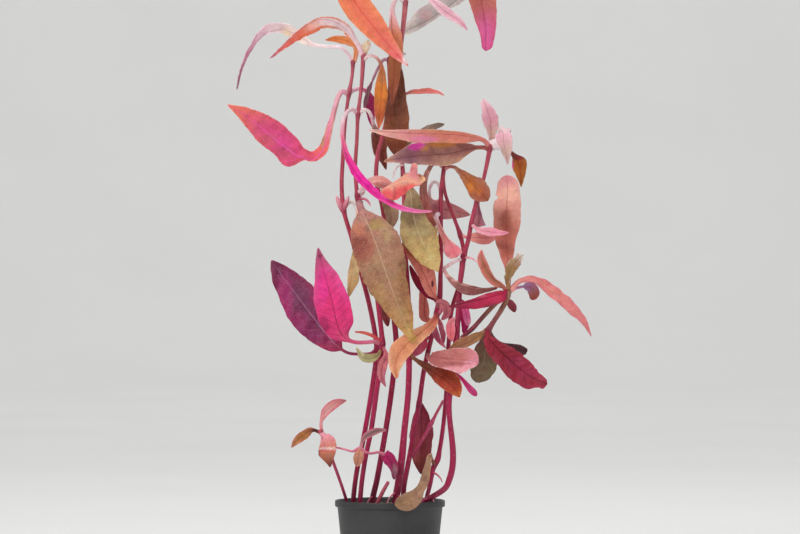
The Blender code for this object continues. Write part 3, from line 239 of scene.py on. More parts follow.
def leaf(
    stem, height, width, tone, route, centre, edge=None, neck=0.1, widest=0.45, fullness=0.9, roll="0",
    fold=8, lean=0, outline="", blunt=0, wave=0.5, waves=3, curl="0", other_curl=None, ragged=0,
    crumple=0.32, bites="", veins=0.2, rib=None, rib_strength=0.6, rim=None, rim_and_highlight_strength=0.25,
    back="d8788a", crease=0, patches=""
):
    """One leaf: where it grows, its shape and its colours, with lengths in millimetres.

    It grows from a stem at a height, with its full width, the name of its tissue and the points of its
    midrib. centre and edge are colours spread evenly from the petiole to the tip. neck is the petiole's
    share of the length, widest the widest place along the blade, and fullness under 1 makes the ends
    blunter. roll turns the blade about its midrib in degrees, spread evenly along it, fold raises both
    halves in degrees, and lean is how far the tip goes back besides. outline stands in for widest and
    fullness: the half widths from the neck to the tip that are seen from the front, first on the left and
    then on the right hand along the leaf. blunt is the length of a rounded tip. wave is the height of the
    margin's waves and waves their number, curl how far the halves roll in degrees a millimetre, other_curl
    that of the right half, ragged how far the margin is torn, and crumple the height of the blade's dents. A
    bite is a share of the length, a side, half its length as a share and its depth as a share of the half
    width. veins is the strength of the side veins and rib the colour of the midrib. rim is the colour laid
    along the margin, which is partly the margin's own colour and partly a painted highlight along the edge.
    back is the colour that the underside leans to, and crease the share of the half width at which the
    edge's colours set in. A patch is x, z, half its width and height, a colour and a strength; most patches
    are the leaf's own colours, and the few that are painted shade or painted highlights are marked where
    they stand.
    """
    centre = centre.split()
    spots = [patch.split() for patch in patches.split(",")] if patches else []
    return {
        "stem": stem, "height": height, "width": width, "tone": tone, "route": rows(route), "centre": centre,
        "edge": edge.split() if edge else centre, "neck": neck, "widest": widest, "fullness": fullness,
        "roll": numbers(roll), "fold": fold, "lean": lean, "outline": rows(outline) if outline else None,
        "blunt": blunt, "wave": wave, "waves": waves, "curl": numbers(curl),
        "other_curl": numbers(other_curl or curl), "ragged": ragged, "crumple": crumple,
        "bites": rows(bites) if bites else [], "veins": veins, "rib": rib or centre[len(centre) // 2],
        "rib_strength": rib_strength if rib else 0, "rim": rim or "ffffff",
        "rim_and_highlight_strength": rim_and_highlight_strength if rim else 0, "back": back, "crease": crease,
        "patches": [(*map(float, spot[:4]), spot[4], float(spot[5])) for spot in spots],
    }


# Leaves that are pieces of their own
LEAVES = {
    "leaf_top_left_drooping": leaf("stem_far_left", 269, 14, "pale pink",
        "-20.6 4 272.6, -24 5 276.2, -31 7 277.2, -39 9 278.6, -46 10 283, -54 10 286.2, -62 10 285, "
        "-69 9 278.5, -74.5 9 268, -77.7 9 256.5",
        "f6dce6 fbe8f0 fbeaf0 f6e4dc f6e0dc f8dce8 e8a8c4 c07898 a05878",
        "fbe4ec fbe0ea f8dce4 f8e8dc fbe4e4 f4c8d8 dc94b0 b86c90 984c6c", neck=0.3, roll="10 20 25 35 50 55",
        fold=10, lean=16, outline="0.7 2.6 2.2 0.8 0.3 0.6 0.3 0.3 0.2, 0.7 2.5 3.7 4.5 3 1.6 1.6 1.8 0.6",
        wave=0.4, rib="d8a0b0", rim="ffffff", rim_and_highlight_strength=0.5, patches="-52 283 3 5 f2dcb4 0.8"),
    "leaf_top_left_twisted": leaf("stem_left", 272, 13, "pale pink",
        "-15.8 -1 276.5, -19 -2 281.5, -23 -4 285.8, -28 -6 288.6, -34 -7 289.2, -40 -7 287, -46 -7 282.6, "
        "-52 -7 276.8, -59 -7 269.5",
        "f0c8d4 fbe4ec fdecf2 fdecf2 fbe4e8 f4b8a8 e87458 e06858 c85c5c a85468",
        "f4d4dc f8d8dc f4c8bc ec9470 e8784c e06c48 dc6448 d46050 a85060", neck=0.16, roll="0 10 20 20 10 0",
        fold=14, lean=-16, outline="0.9 1.6 3.6 4.6 4.6 4.2 3 1.6 0.6, 1.8 2.7 2.2 1.4 0.8 0.5 0.3 0.3 0.2",
        wave=0.4, curl="0 -3 -5 -5 -3 0", ragged=0.05, rib="e0a0a8", rim="fdeeee", rim_and_highlight_strength=0.5,
        crease=0.66),
    "leaf_left_folded": leaf("stem_far_left", 253.5, 14.5, "magenta",
        "-22.6 2 254.4, -23.8 1.6 254.5, -25.6 1.2 252.6, -27.5 0.6 247.5, -29.5 0 240, -31.5 0 231, "
        "-34 0 224, -38.5 0 220.4, -44.5 0 221.3, -51 0.5 225.3, -59 1 231.5, -67 1.5 238.2, -75 2 243.8, "
        "-81 2.5 247.2", "f0c4d0 f0b4c0 ee98a4 ee6458 e25474 e04890 de5080 e4666c f08058",
        "e8a8b0 d8a090 d89080 ee6450 dc5068 d44c6c d8586c e4705c f08448", neck=0.2, roll="0 -30 -25 0 0 0",
        fold=6, lean=-16, outline="1.5 1.8 2 2.2 2.4 1.4 0.4 8.4 7 6 6.3 6.2 5.2 4.2 3.2 1.6 0.3, 1.3 1.5 "
        "1.8 2.4 3 3.6 4.4 6 7.6 8.2 8.5 8 7 5.6 3.9 2 0.3", wave=0.4, crumple=0.3, veins=0.5, rib="f868c8",
        rib_strength=0.8, rim="ffccd0", rim_and_highlight_strength=0.8,
        patches="-33.8 233 1.4 9 b09468 0.8, -45 218.6 6 3 c85058 0.6, -53 223.6 6 4 bc5058 0.6, "
        "-61 229.6 6 4 c85c58 0.6"),
    "leaf_magenta_hanging": leaf("stem_far_left", 254.5, 8, "magenta",
        "-17.2 4 255.6, -15 4.4 256, -12.4 5 255.2, -10 6.5 252, -9 8 246, -8.8 8.5 237",
        "f6dce6 f0b0c8 d84c88 c03070 b83070 d84888 c83c78",
        "f6dce6 f0b0c8 b83c6c a03060 983058 c84480 a83060", neck=0.34, roll="0 15 20 20", lean=6,
        outline="1 1.6 2.1 2.5 1.9 1.4 1.1 0.6 0.2, 1 1.8 2.9 3.3 3.6 3.3 2.5 1.6 0.3", rib="8c1048",
        patches="-13.5 243 1.6 4.5 f06ca8 0.7"),
    "leaf_orange_hanging": leaf("stem_left", 270, 8.5, "ochre",
        "-11.2 -1.4 271.7, -8.4 -2.4 271.9, -5.5 -3.6 269.6, -3.9 -4.6 265.5, -3.6 -5.6 259, -4.3 -6 251, "
        "-5 -6 243, -5.6 -6 235", "f6e4e8 f4d8dc c88070 dc8440 ec9440 e88838 d87438 c46434 d87858",
        "f0d0d8 e8b8b8 a86c68 b87040 d88040 d07c3c b8643c b86048 e89070", neck=0.3, roll="0 15 25 20",
        lean=-6, outline="0.7 1.3 1.8 2.5 2.9 2.7 2.3 1.9 0.3, 0.7 2.3 3.5 3.7 3.6 3.3 2.7 1.6 0.3",
        wave=0.4, rib="a85028", rim="f0a860", patches="-4 261 2 4 9c7060 0.5"),
    "leaf_brown_hanging": leaf("stem_left", 243.5, 8.5, "tan",
        "-12.8 -0.6 245.2, -10.6 -0.4 244.2, -9 0.4 241, -8 3.4 236.5, -6.8 7.2 231.5, -5 9 225.5, "
        "-3.2 9.4 220.5, -2 9.4 215.5", "f4e0e4 f4e0e4 ecc8cc a86c60 905040 884838 7c4034 70382c",
        "f4e0e4 f4e0e4 e8c0c4 b87c74 a46458 98584c 8c4c40 7c4034", neck=0.36, roll="0 10 10 10", lean=4,
        outline="0.8 2.5 4.3 5 4.5 3.7 2.4 1.2 0.3, 0.8 1.8 2.4 3.2 3.8 4 3 1.6 0.3", rib="5c2c24",
        rim="c89078"),
    "leaf_magenta_arch": leaf("stem_left", 243.5, 8, "magenta",
        "-18.6 -1.6 245.2, -20.8 -2.6 244.3, -22.8 -3.6 241, -23.6 -4.4 235.5, -23.5 -5 230, "
        "-22.6 -5.6 225, -20.5 -6.4 219.5, -17 -7 213.4, -12.5 -7.4 207.8, -7 -7.6 202.6, -0.5 -8.4 198.6, "
        "6 -10 196, 13 -11.6 194.4, 21 -12.2 194",
        "f4d8e0 f6dce4 f07898 f03c9c f428a8 f030a8 f048a8 f078b4 e890b0", neck=0.24,
        roll="10 20 30 30 30 20", fold=16, lean=-6,
        outline="1.2 1.4 2 2.2 2.4 1 0.8 0.6 0.4, 0.8 1.2 2 2.4 2 1.8 1.8 1.5 0.5", wave=0.3, rib="c81c80",
        rim="ff90cc"),
    "leaf_pale_centre": leaf("stem_left", 202, 5, "pale pink",
        "-13.6 0.6 203.2, -12.6 0.7 206.6, -10.2 0.6 209.2, -7 0.2 208.4, -2 0 207, 3 -1.4 207",
        "f6e4e8 f4d4d8 ecaca8 e49890 dc8c84", neck=0.4, roll="0 0 15",
        outline="0.5 1.2 1.6 1.8 1.6 1 0.3, 0.5 1.4 1.8 1.8 1.5 1 0.3", wave=0.3, rib="c87878"),
    "leaf_tan_large": leaf("stem_left", 199.5, 23.5, "tan",
        "-14.8 -3.4 197.5, -12.8 -6 191.5, -9.4 -8.6 184.5, -6.2 -10.2 176, -2.4 -11 165, 2.2 -10.8 152.5, "
        "7 -10 140, 10 -9 131.5", "b88890 b87c78 b48070 ac7c64 a87c60 a4785c a87c58 b08858 c49c58",
        "b88890 b88078 b0806c a87860 a07054 9c6c48 a47048 b07c48 c89c58", fold=-6, lean=-10,
        outline="1.8 8 11.6 12.2 10.4 8.4 6.4 5 1.5, 2.2 8.8 12.2 12.6 12.2 10 7.2 4.8 1", wave=0.9,
        waves=3.5, ragged=0.02, crumple=0.4, veins=0.3, rib="dcc0a0", rib_strength=0.42, rim="d8a878",
        # The orange c8785c patch at x -16, z 185 is a painted highlight
        patches="-13.5 177 7 10 a04c3c 0.7, -15 177 4.4 6.5 8c3c38 0.7, -16 185 4.5 4 c8785c 0.7, "
        "-7 187.5 4 3.5 a89048 0.7, -1.5 184 3 6 b09868 0.5, 7 160 3 14 8c5c38 0.6, -5 150 4 10 b08c58 0.5"),
    "leaf_yellow_hanging": leaf("stem_far_left", 196.5, 8, "olive",
        "-20.6 3.8 198.6, -18.6 4.2 199, -17 4 196.2, -16.2 2.8 190.6, -16.2 0.6 183.5, -16.8 -0.8 176, "
        "-17.6 -1.4 168, -20.7 -2 151.5", "fbf4f4 f8ecec d8b088 c8a474 c8a878 ccac7c d0b080 c8a470 b08c58",
        neck=0.34, roll="0 0 -20 -20",
        outline="0.7 1.5 2 2.4 2.8 3.1 3.5 2.4 0.3, 0.7 1 1.2 1.7 2.2 2.8 2.2 1.4 0.3", veins=0.3,
        rib="e0c898", rim="e0c898"),
    "leaf_olive_wide": leaf("stem_middle", 209, 18, "olive",
        "9 -2.4 207, 10.2 -3.6 203, 11 -4.8 196, 12.6 -6.4 188.6, 15 -7.6 181.5, 18.4 -8.6 174.6, "
        "21.6 -8.8 169, 24.2 -8.6 164", "a88474 a08868 a08c68 a8946c b09c6c bca46c c8ac6c ccb070 d0b070",
        "a8806c 9c8460 988460 a08c64 b09868 c0a468 c8a868 ccac6c d4b478", neck=0.12, fold=-5, lean=-4,
        outline="2 4.5 6.8 8.6 9.4 8.6 7 4.6 0.6, 1.5 3 5 7.4 9 8.8 7.4 5.6 0.6", blunt=5, wave=0.9,
        waves=3.2, ragged=0.05, crumple=0.4, veins=0.3, rib="dcc8a0", rib_strength=0.5, rim="e0c080",
        patches="12 192 3 6 886c50 0.6, 18 184 5 2 c8b084 0.6, 24 176 3 6 c8a868 0.5, "
        "16 178 3 5 a88c58 0.5"),
    "leaf_rose_hook": leaf("stem_mid_right", 216.5, 5.5, "tan",
        "24.6 -2.6 218.3, 22.4 -3.2 218.4, 20 -4.4 216, 18 -6 212.4, 16.8 -7.6 207, 17 -8 201, "
        "18.5 -8.2 195.4, 20.5 -8.6 190.6, 22.5 -9 186.5",
        "d8a8a0 c89488 bc8478 b07870 a86c64 a05c54 984c40 8c4030",
        "e0b0a8 c08878 a87068 a06458 a05850 984840 8c4034 803828", neck=0.2, roll="0 10 20 20", lean=-3,
        outline="1 1.3 1.4 1.6 1.7 2 1.6 1.2 0.8, 1 1.2 1.4 2 2.2 2.1 1.9 1.8 0.8", rib="7c4038",
        rim="e0b0a0"),
    "leaf_mauve_centre": leaf("stem_mid_right", 205, 10.5, "mauve",
        "23.9 -1 208.2, 22.2 0 209, 20.6 1 207.6, 19.7 2.4 204, 20.2 4.6 199.5, 23.4 6.6 196.6, "
        "28 7.4 195.4, 34 7.4 194.4, 40.5 7 192.8",
        "f8ecee f8e8ec f4d8de d08c90 cc8088 cc888c d49090 d49494", neck=0.36, lean=8,
        outline="0.7 1.7 4 5 4.7 3.6 2.9 1.7 0.3, 0.7 1 3 5 5.5 4.6 3.6 2.4 0.3", veins=0.4, rib="8c4c58",
        rim="f0c8cc", patches="22 194 4 4 a86068 0.5, 20 200 3 2 e0a8a0 0.6"),
    "leaf_ochre_right": leaf("stem_mid_right", 215.5, 12, "ochre",
        "29.4 -3.6 216.4, 32 -5 216.2, 35.2 -6.4 213.6, 39 -7.6 209.6, 43 -8.2 205.4, 46.6 -8.4 201.6, "
        "48.6 -8.4 199.4", "e8a8a8 c8847c a87060 a86444 b06430 b46830 b06034 a8583c a0583c",
        "e8a8a8 c08478 a07464 a06c58 a46848 a8643c a86448 a8644c b0705c", neck=0.2, lean=-8,
        outline="0.7 1 2 3.2 4.6 5.8 5.6 4.4 1.8, 0.7 1.4 2.1 2.8 3.6 4.7 5.5 4.7 1.8", blunt=1.5,
        ragged=0.05, veins=0.4, rib="8c3c28", rim="c89078",
        patches="40 206 2 3 d07828 0.8, 44 203.5 1.6 2 c87030 0.6, 47 209.5 5 2 a87060 0.6"),
    "leaf_salmon_level": leaf("stem_far_right", 182.5, 6.5, "salmon",
        "38 2.2 181.6, 42 1.4 181.2, 48 1 181, 53.5 0.8 182.2", "e8a0a0 e89890 e48c88 e89c98", neck=0.16,
        widest=0.5, fullness=0.7, roll="10 10", lean=8, rib="b05858", rim="f4c4bc"),
    "leaf_salmon_hanging": leaf("stem_mid_right", 193, 8.5, "salmon",
        "23.4 -4.2 192.4, 23.4 -5 190.6, 24.6 -5.4 187, 27 -5.6 182.6, 30 -5.8 178, 33.4 -6 171.4",
        "f8e8ee f8e4ec f0c4c8 e89498 e8908c e88c8c ec8890 f07c88 f08c94",
        "f8e8ee f8e4ec f4d0d0 f0b0a8 eca498 eca098 f09ca0 f48c98 f6a8ac", neck=0.26,
        outline="0.8 0.8 0.9 0.7 0.8 1.3 2.5 3.8 2.9, 1 1.5 1.6 2.2 2.5 3.8 4.9 5 3.1", blunt=1, wave=0.6,
        crumple=0.35, rib="c86870", rim="f8d0c8"),
    "leaf_salmon_long": leaf("stem_right", 226.6, 8.6, "salmon",
        "47.6 -5 228.8, 44 -6.6 230.4, 37.5 -8.4 231.6, 30 -9.4 232.2, 21.5 -10 232.5, 12.5 -10 232.5, "
        "5 -10 232.9, -2.5 -10 233.4, -10.5 -10 234.2",
        "e08880 dc8478 d87c70 dc8074 dc8478 e08c88 e49898 eaa8a0 f0c8c0",
        "ec9c94 e08c7c d8846c d8886c dc9074 e0988c e8a49c eeb0a4 f4d0c4", roll="10 20 20", lean=-6,
        outline="1.4 3.4 4.2 4.2 4.4 4.3 3 1.6 0.2, 1.2 1.4 1.8 2.2 2.4 2.3 1.5 0.9 0.2", wave=0.4, waves=4,
        veins=0.4, rib="b86058", rim="f6ccc0",
        patches="17 230 8 2 e078b0 0.6, 28 234.4 15 1.2 c88c60 0.5, 22 231.6 7 1 b87058 0.4"),
    "leaf_mauve_long": leaf("stem_right", 225.2, 11, "mauve",
        "47 -4.2 225.8, 44 -4.6 225.9, 38 -5.4 225, 32 -6.2 223.4, 24 -6.4 222.4, 15 -6.4 221.8, "
        "6 -6.4 220.6, -3 -6.4 219", "a86058 9c5854 a06460 a87068 a87468 9c6868 905c68 986870 e0a890",
        "b87870 b07c70 b8846c b88c70 b88878 a87c78 a07880 b88880 f0b890", neck=0.12,
        outline="0.8 3.2 5.6 5.7 5.3 4.7 3.3 1.8 0.3, 1.5 4 5.5 6.8 7 6.8 5.2 2.6 0.3", wave=0.6, waves=3.5,
        crumple=0.4, veins=0.4, rib="6c3838", rim="f0d0bc", rim_and_highlight_strength=0.7,
        patches="25 227.4 9 1.5 c88038 0.9, 16.5 225.6 3.4 1.2 e0a040 0.85, "
        "12.6 227.6 5.4 3.6 e848b4 0.95, 37 228 5 3 84504c 0.6, 27 222.6 8 1 8c5858 0.5"),
    "leaf_ochre_hanging": leaf("stem_right", 224.6, 7.5, "ochre",
        "52.4 -2.6 225.9, 54.6 -2 226.5, 58 -2 225.4, 61.6 -2.4 222.6, 64 -3 218.6, 65.2 -3.4 213, "
        "65.7 -3.6 206.5", "f6e4e8 f4dce0 e8b8bc 703038 b05c28 bc6428 bc6428 b06024 985020",
        "f6e4e8 f4dce0 e8b8bc 804850 a86038 b87430 b87828 b07030 986034", neck=0.4, lean=12,
        outline="0.7 1.2 4.6 4.2 3.3 2.7 1.6 0.9 0.2, 0.7 1.6 2.8 4 3 2.2 1.5 0.8 0.2", wave=0.4,
        crumple=0.3, rib="70280c", rim="e0c0a0",
        patches="60.5 217.2 1.4 3.2 f848b0 0.95, 63.6 221.5 3.5 1.8 702838 0.8, 65 221 1 1.2 a82838 0.8"),
    "leaf_pale_folded": leaf("stem_right", 226.4, 9, "pale pink",
        "51.6 -4.6 227.6, 54 -5 227.6, 55.6 -5.4 230, 56 -6.4 233, 56.2 -8.4 233, 56.4 -9.2 229.5, "
        "57.2 -9.4 225, 58.5 -9.4 217.4", "f8ecf0 f8ecf0 f4dce4 f0dce0 f0b4c4 e0acb4 ccaa9c c8a89c d4b0b0",
        "f8ecf0 f8ecf0 f4dce4 f0dce0 f4c0cc e8b8c0 d8b4b0 d8b4b0 dcb8b8", neck=0.47,
        outline="3.4 4.4 4.4 4 3.4 2.8 2 1.2 0.2, 4.6 4.4 3.6 2.9 2.3 1.9 1.4 0.8 0.2", wave=0.2,
        crumple=0.4, rib="b88484", rim="f8e4e4", patches="52.5 232.5 3 2 f0a0bc 0.7"),
    "leaf_coral_folded": leaf("stem_middle", 212.5, 14, "coral",
        "9.4 -2.4 212.8, 12.6 -6 212.4, 15.6 -9.4 211.4, 16.9 -11.4 209.6, 13.9 -12.5 208.3, "
        "10.9 -12.9 208.8, 7 -13 209.3, 3.9 -13 208.4, -0.7 -13 206.3, -4.8 -12.8 203.8",
        "e8a0a0 ec9898 ec9090 ee9488 f09c8c f0a490 f0a890 f0a490 f0a088", neck=0.46, fold=-6,
        outline="0.6 0.6 1.4 4.8 6.8 7.4 8 7.4 3, 4 11 9.4 4.8 2.2 1.2 0.6 0.5 0.5", blunt=0.6, wave=0.3,
        crumple=0.3, rib="f8c0a8", rib_strength=0.8, rim="f8c0b0",
        # The thin dark a02840 patch at x 2.2 is a painted line of shade
        patches="6 202 5.5 5.4 ec4c58 0.95, -1.5 200.6 5 5.4 ec5860 0.95, 10.4 205.2 4 3 ec5458 0.9, "
        "2.2 203 0.6 5 a02840 0.7, 11.5 213.4 3.5 3.4 e88898 0.8, 16.4 209.8 1.8 2.6 f4c080 0.8"),
    "leaf_coral_top": leaf("stem_middle", 322.5, 14.5, "coral",
        "5 0 324.6, 0 -1.2 327.6, -7 -3 328.4, -14.4 -5 325.4, -19.8 -6.8 317.6, -20.6 -7.8 308, "
        "-18.4 -8.2 300, -14 -8.4 293, -8.5 -8.6 286, -3 -8.6 279, 3 -8.6 272, 9 -8.6 265.5",
        "e8a8a0 ec9c88 ec7c6c e87460 ec7860 ec785c e87460 e8746c ec8888",
        "f0b4a4 f0a488 f09474 ec8c64 ec885c ec8c60 ec885c e88868 f0a4a4", neck=0.16, widest=0.5,
        roll="0 20 0 0", lean=-14, wave=0.6, waves=2.5, veins=0.4, rib="d84c44", rib_strength=0.8,
        rim="f8b088", patches="1.5 270.5 5 2 e85c68 0.6, 7.6 268.6 1.6 2.6 fbf0f2 0.9"),
    "leaf_pink_hanging_top": leaf("stem_middle", 299.5, 7, "coral",
        "5.4 0.6 302, 3.6 -0.6 301.6, 2 -2 298.6, 0.9 -3 293, 0.9 -3.6 286, 1.8 -4 277, 2.2 -4 268, "
        "1.8 -4 257, 1 -4 247", "f8e8ec f6dce0 f0b0b0 d88058 c46c44 a86040 985438 8c4c34",
        "f8e8ec f6dce0 f0c0c8 e89478 c87850 a86440 984c38 803c30", neck=0.24, roll="0 10 20 10", lean=-2,
        outline="1.5 3.2 4.6 4.4 3.6 3 2.4 1.6 0.4, 1 1.2 2 2.6 3 3 2.6 1.8 0.4", wave=0.4, rib="8c4030",
        rim="e0a888", patches="-0.5 294 1.8 5 f4c0cc 0.8"),
    "leaf_brown_large": leaf("stem_mid_left", 270.5, 12.5, "tan",
        "1.8 2.6 271.4, 2.8 1 268.6, 3.2 -0.6 262, 3.4 -1.2 253, 3.4 -1.4 244, 3.4 -1.4 234, 3 -1.4 222",
        "8c4c3c 7c4030 74402c 784430 7c4834 824a34 8c4a30 7c3c28",
        "8c4c38 804434 7c4834 804c38 885040 8c5038 8c4c30 7c3c28", fold=-4,
        outline="1.2 3.2 4.2 4.6 5.5 6.3 6.4 5.6 2, 1.2 3 4.2 5.2 6.2 6.5 6.5 5 1.5", blunt=3, wave=0.6,
        veins=0.3, rib="a07058", rib_strength=0.35, rim="a87050", patches="1 236 3 8 985434 0.4"),
    "leaf_grey_top": leaf("stem_middle", 322.5, 11.5, "grey",
        "12 2.6 325.6, 19 4 327.8, 28 5.4 326, 35 6 319, 37.6 6 311, 35.6 6 303.6, 30 6 298, 23 6 293.4, "
        "15 6 289, 8 5.8 285.8, 3.5 5.6 283.6", "e4ccd0 d8c4c8 c4b8b8 c0b4b4 bcb0b0 bcb4b0 c4bcb8 d4ccc8",
        "ece0e0 e0d0d4 d0c4c4 c8bcbc ccc0bc d8ccc8 e4dcd8 ece8e4", neck=0.3, lean=14,
        outline="1 3 4 3.5 1.4 1.4 2 2.6 0.8, 1 3 4.5 6 6.6 7.2 6.9 3.9 0.8", wave=0.6, veins=0.6,
        rib="6c5c60", rim="fbf8f6", rim_and_highlight_strength=0.7, patches="18 293.5 4 3 e0b0b8 0.5"),
    "leaf_pale_top": leaf("stem_middle", 300, 5, "pale pink",
        "10.6 0.6 302.6, 14 -0.2 303.6, 18 -1.2 302, 23 -2 297.6, 29 -2.4 292.6, 34 -2.4 289, 38.5 -2.4 284",
        "f6e4ea f4d8e0 ecc0cc e4b0bc e0a4b4 e8b0c0 d890a8",
        "f6e4ea f8e4ea f4d4dc ecc4cc ecc0cc f0c4d0 e0a0b4", neck=0.2, widest=0.55, roll="20 10 0", lean=-14,
        rib="b87488", rim="fbf0f2", rim_and_highlight_strength=0.5),
    "leaf_coral_top_right": leaf("stem_middle", 335, 14.5, "coral",
        "12 0 337.6, 19 -1 340.6, 28 -2.4 339, 36 -3.6 331, 41.4 -4.6 318.6, 44.4 -5 305, 46.4 -5 293, "
        "47.6 -5 283, 47.4 -5 273.5", "d89888 c8806c c07058 b8604c b05a48 b05a4c b8605c d8609c e468a8",
        "e0a894 d08c74 c87c60 c07054 bc6c50 c07458 c47064 d05c84 d84888", neck=0.22, roll="0 10 0 0",
        lean=-12, outline="1.2 4 5.6 6.5 7.2 7.2 6.4 4.6 2.8, 1.2 4 5.5 6.3 6.8 6.4 5 3 1.6", blunt=2.5,
        wave=0.6, veins=0.4, rib="8c3438", rib_strength=0.8, rim="e8a088"),
    "leaf_coral_arched_right": leaf("branch_right", 155, 8.6, "salmon",
        "61 -11 157, 64 -11.4 159.8, 69 -11.8 160.8, 74.6 -12 158.8, 80.4 -12 154.6, 86.2 -12 149.6, "
        "91.8 -12 144.2, 96.2 -12 138.6, 99.2 -12 132.5",
        "ec9c94 e48c84 d87c78 dc8078 dc8480 d87c7c d47878 d88088",
        "f0a8a0 dc7c7c d07078 d47478 d87c80 d47880 cc7078 d07c84", neck=0.16, roll="20 30 30 25", lean=-12,
        outline="1.1 1.6 2.5 2.7 2.6 2.4 1.9 1 0.2, 1.5 1.9 2.5 3.2 2.9 2.9 2.1 1.3 0.2", wave=0.4,
        crumple=0.3, rib="f0b0a4", rib_strength=0.4, rim="f4c0b8"),
    "leaf_olive_ragged": leaf("branch_right", 155, 5.6, "olive",
        "58.4 -11.8 158.4, 58.6 -12.4 162, 60.2 -12.8 166.4, 63 -13 170, 66 -13 172.6",
        "b07c5c a07850 98744c a07c54 b89478 f0e8e0", neck=0.14, lean=-4,
        outline="0.8 1.8 2.6 3 3 2.8 2.4, 0.8 1.8 2.6 3 3 2.8 2.4", ragged=0.35, bites="0.99 1 0.06 0.8",
        rib="7c5838", rim="f6f0e8", rim_and_highlight_strength=0.7),
    "leaf_salmon_upright": leaf("branch_right", 155, 14.2, "salmon",
        "59 -8.4 158.2, 59.2 -7.4 163, 59 -6.6 168, 58.4 -5.6 175, 58 -4.8 182, 58 -4 190, 58.4 -3.6 198, "
        "58.8 -3.2 205, 58.4 -3 212.5", "c8706c c06c64 c06c5c b86454 b06050 c87c6c e09c8c eca89c e898a4",
        "d0807c cc7c74 cc7c70 c87868 cc7c6c e09888 f0b0a0 f4b8a8 f0a8b0", neck=0.14, fold=-6, lean=10,
        outline="1.3 2.6 4.3 5.7 6.5 6.8 6.4 5.2 4.2, 1 2.3 3.7 5 6.9 7.2 7.3 6.2 4.6", blunt=4.5,
        crumple=0.35, bites="0.8 -1 0.02 0.25", veins=0.4, rib="a04c48", rim="f8ccc0",
        # The pale peach f8c0a8 patch at the top is a painted highlight
        patches="58 190 2.6 7 a04c3c 0.6, 57 178 2 7 b45c50 0.5, 60 203 4 4 f8c0a8 0.6"),
    "leaf_crimson_centre": leaf("branch_right", 155, 8.6, "crimson",
        "56 -12.6 153.4, 52.5 -12.9 152.4, 47 -12.6 150.8, 41 -12 149.4, 35 -11 148.2, 29 -9.6 147",
        "b02448 c02850 c42c54 b82850 a02048 8c1c3c", "a02040 ac2448 b02850 a42448 8c1c3c 7c1834", neck=0.06,
        roll="0 10", lean=-5, outline="2 4 4.3 4.1 4 3.4 2.7 1.5 0.3, 1 2.1 2.4 2.5 1.8 1.3 0.8 0.3 0.2",
        wave=0.6, rib="680c28", rim="d87080",
        patches="51 155.4 4 1.1 e08088 0.8, 43.5 152.4 4.5 1 d87080 0.7, 50 146.4 4.5 2.4 803040 0.7"),
    "leaf_brown_sweeping": leaf("stem_right", 170.5, 6.6, "mauve",
        "32.6 -5.8 169.4, 29.4 -6.8 167.4, 27 -8 165.6, 28.2 -8.8 163, 31.6 -9.2 160, 37 -9.4 157.4, "
        "44 -9.4 155.8, 53.6 -8.4 156.4", "f4dce0 f2d4d8 e8b8b8 a06860 8c5050 844848 804444 8c5450",
        neck=0.32, roll="0 10 10 10",
        outline="0.7 0.6 0.6 0.6 1 0.9 0.4 0.3 0.2, 0.8 1.4 2.7 4.1 4.7 3.7 2.2 1.6 0.8", rib="e8b0a4",
        rib_strength=0.5, rim="f4c8bc",
        patches="29 162.2 3 1 f4c0b4 0.8, 33 160 3.5 0.9 f4b8ac 0.8, 38.5 157.8 4 0.8 f0b0a8 0.7"),
    "leaf_salmon_behind": leaf("stem_mid_right", 141.5, 7, "salmon",
        "20.6 2.2 139.6, 18.2 3 140.8, 17.2 3 146, 17.4 3 152, 18 3 158",
        "d88078 dc8074 e08478 dc8070 d87c70", "e89890 f0a090 ec9c8c e89484 d87c70", neck=0.2, lean=5,
        outline="0.8 3.2 3 2.9 2.8 2.9 3 2.6 1.2, 0.8 2 2.6 2.4 1.8 1.2 0.4 0.2 0.2", rib="a85850"),
    "leaf_salmon_holed": leaf("stem_mid_right", 149.5, 11, "salmon",
        "22.4 -2.6 151.8, 19.6 -3.6 157, 16.8 -4.4 163.4, 13.4 -4.8 169, 9.8 -4.8 174, 6 -4.8 178.6",
        "d06c60 d87c70 dc8474 d88070 d07868 c87060 b86858",
        "d87c70 e08c7c e49080 e08878 d88070 cc7868 b86c60",
        outline="0.7 3.1 3.1 3.3 3.2 3.1 2.8 1.5 0.3, 0.7 2.8 4.4 5.4 5 4 3 1.5 0.3", rib="903c40",
        rim="f4c8bc", patches="21.2 158.2 0.9 1.9 581828 1, 19 166 0.7 3 a04848 0.7, 15 163 2 5 b85c50 0.4"),
    "leaf_peach_forked": leaf("stem_mid_right", 143.5, 11, "coral",
        "22.8 -3.4 141.4, 19.4 -6.4 137.4, 14 -9.6 133, 8.4 -11.4 128.2, 4.2 -12 122.8, 2.6 -11.8 117.4, "
        "3.5 -11 111.5", "b05058 c86458 dc8468 e8a078 e89c70 e09068 d88c68 d88058",
        "c06068 d87868 e8a078 f0b088 f0a880 e8a078 f0b890 f0b088", neck=0.08, lean=-9,
        outline="1.2 3.2 3.6 4.3 4.8 4 0.5, 1.2 1.7 2.7 4.3 6 3.8 0.5", wave=0.7, veins=0.4, rib="b0583c",
        rim="f8d8b8", rim_and_highlight_strength=0.5, patches="11 131 2.6 2.2 f0c868 0.8"),
    "leaf_purple_left": leaf("stem_far_left", 124.5, 20.5, "crimson",
        "-9.4 5 123.2, -15 4.4 122.8, -21 3.6 123.4, -26 3 126.4, -32 3 133, -39.6 3.4 142.6, -46 4 151, "
        "-52 4.6 159, -57 5 165.6, -60 5.4 170", "b0305c a82c58 982850 782450 702850 6c2850 742850 702444",
        "b83464 b0305c a82858 88245c 902458 882450 801c48 6c1c3c", neck=0.24, widest=0.42, fullness=0.8,
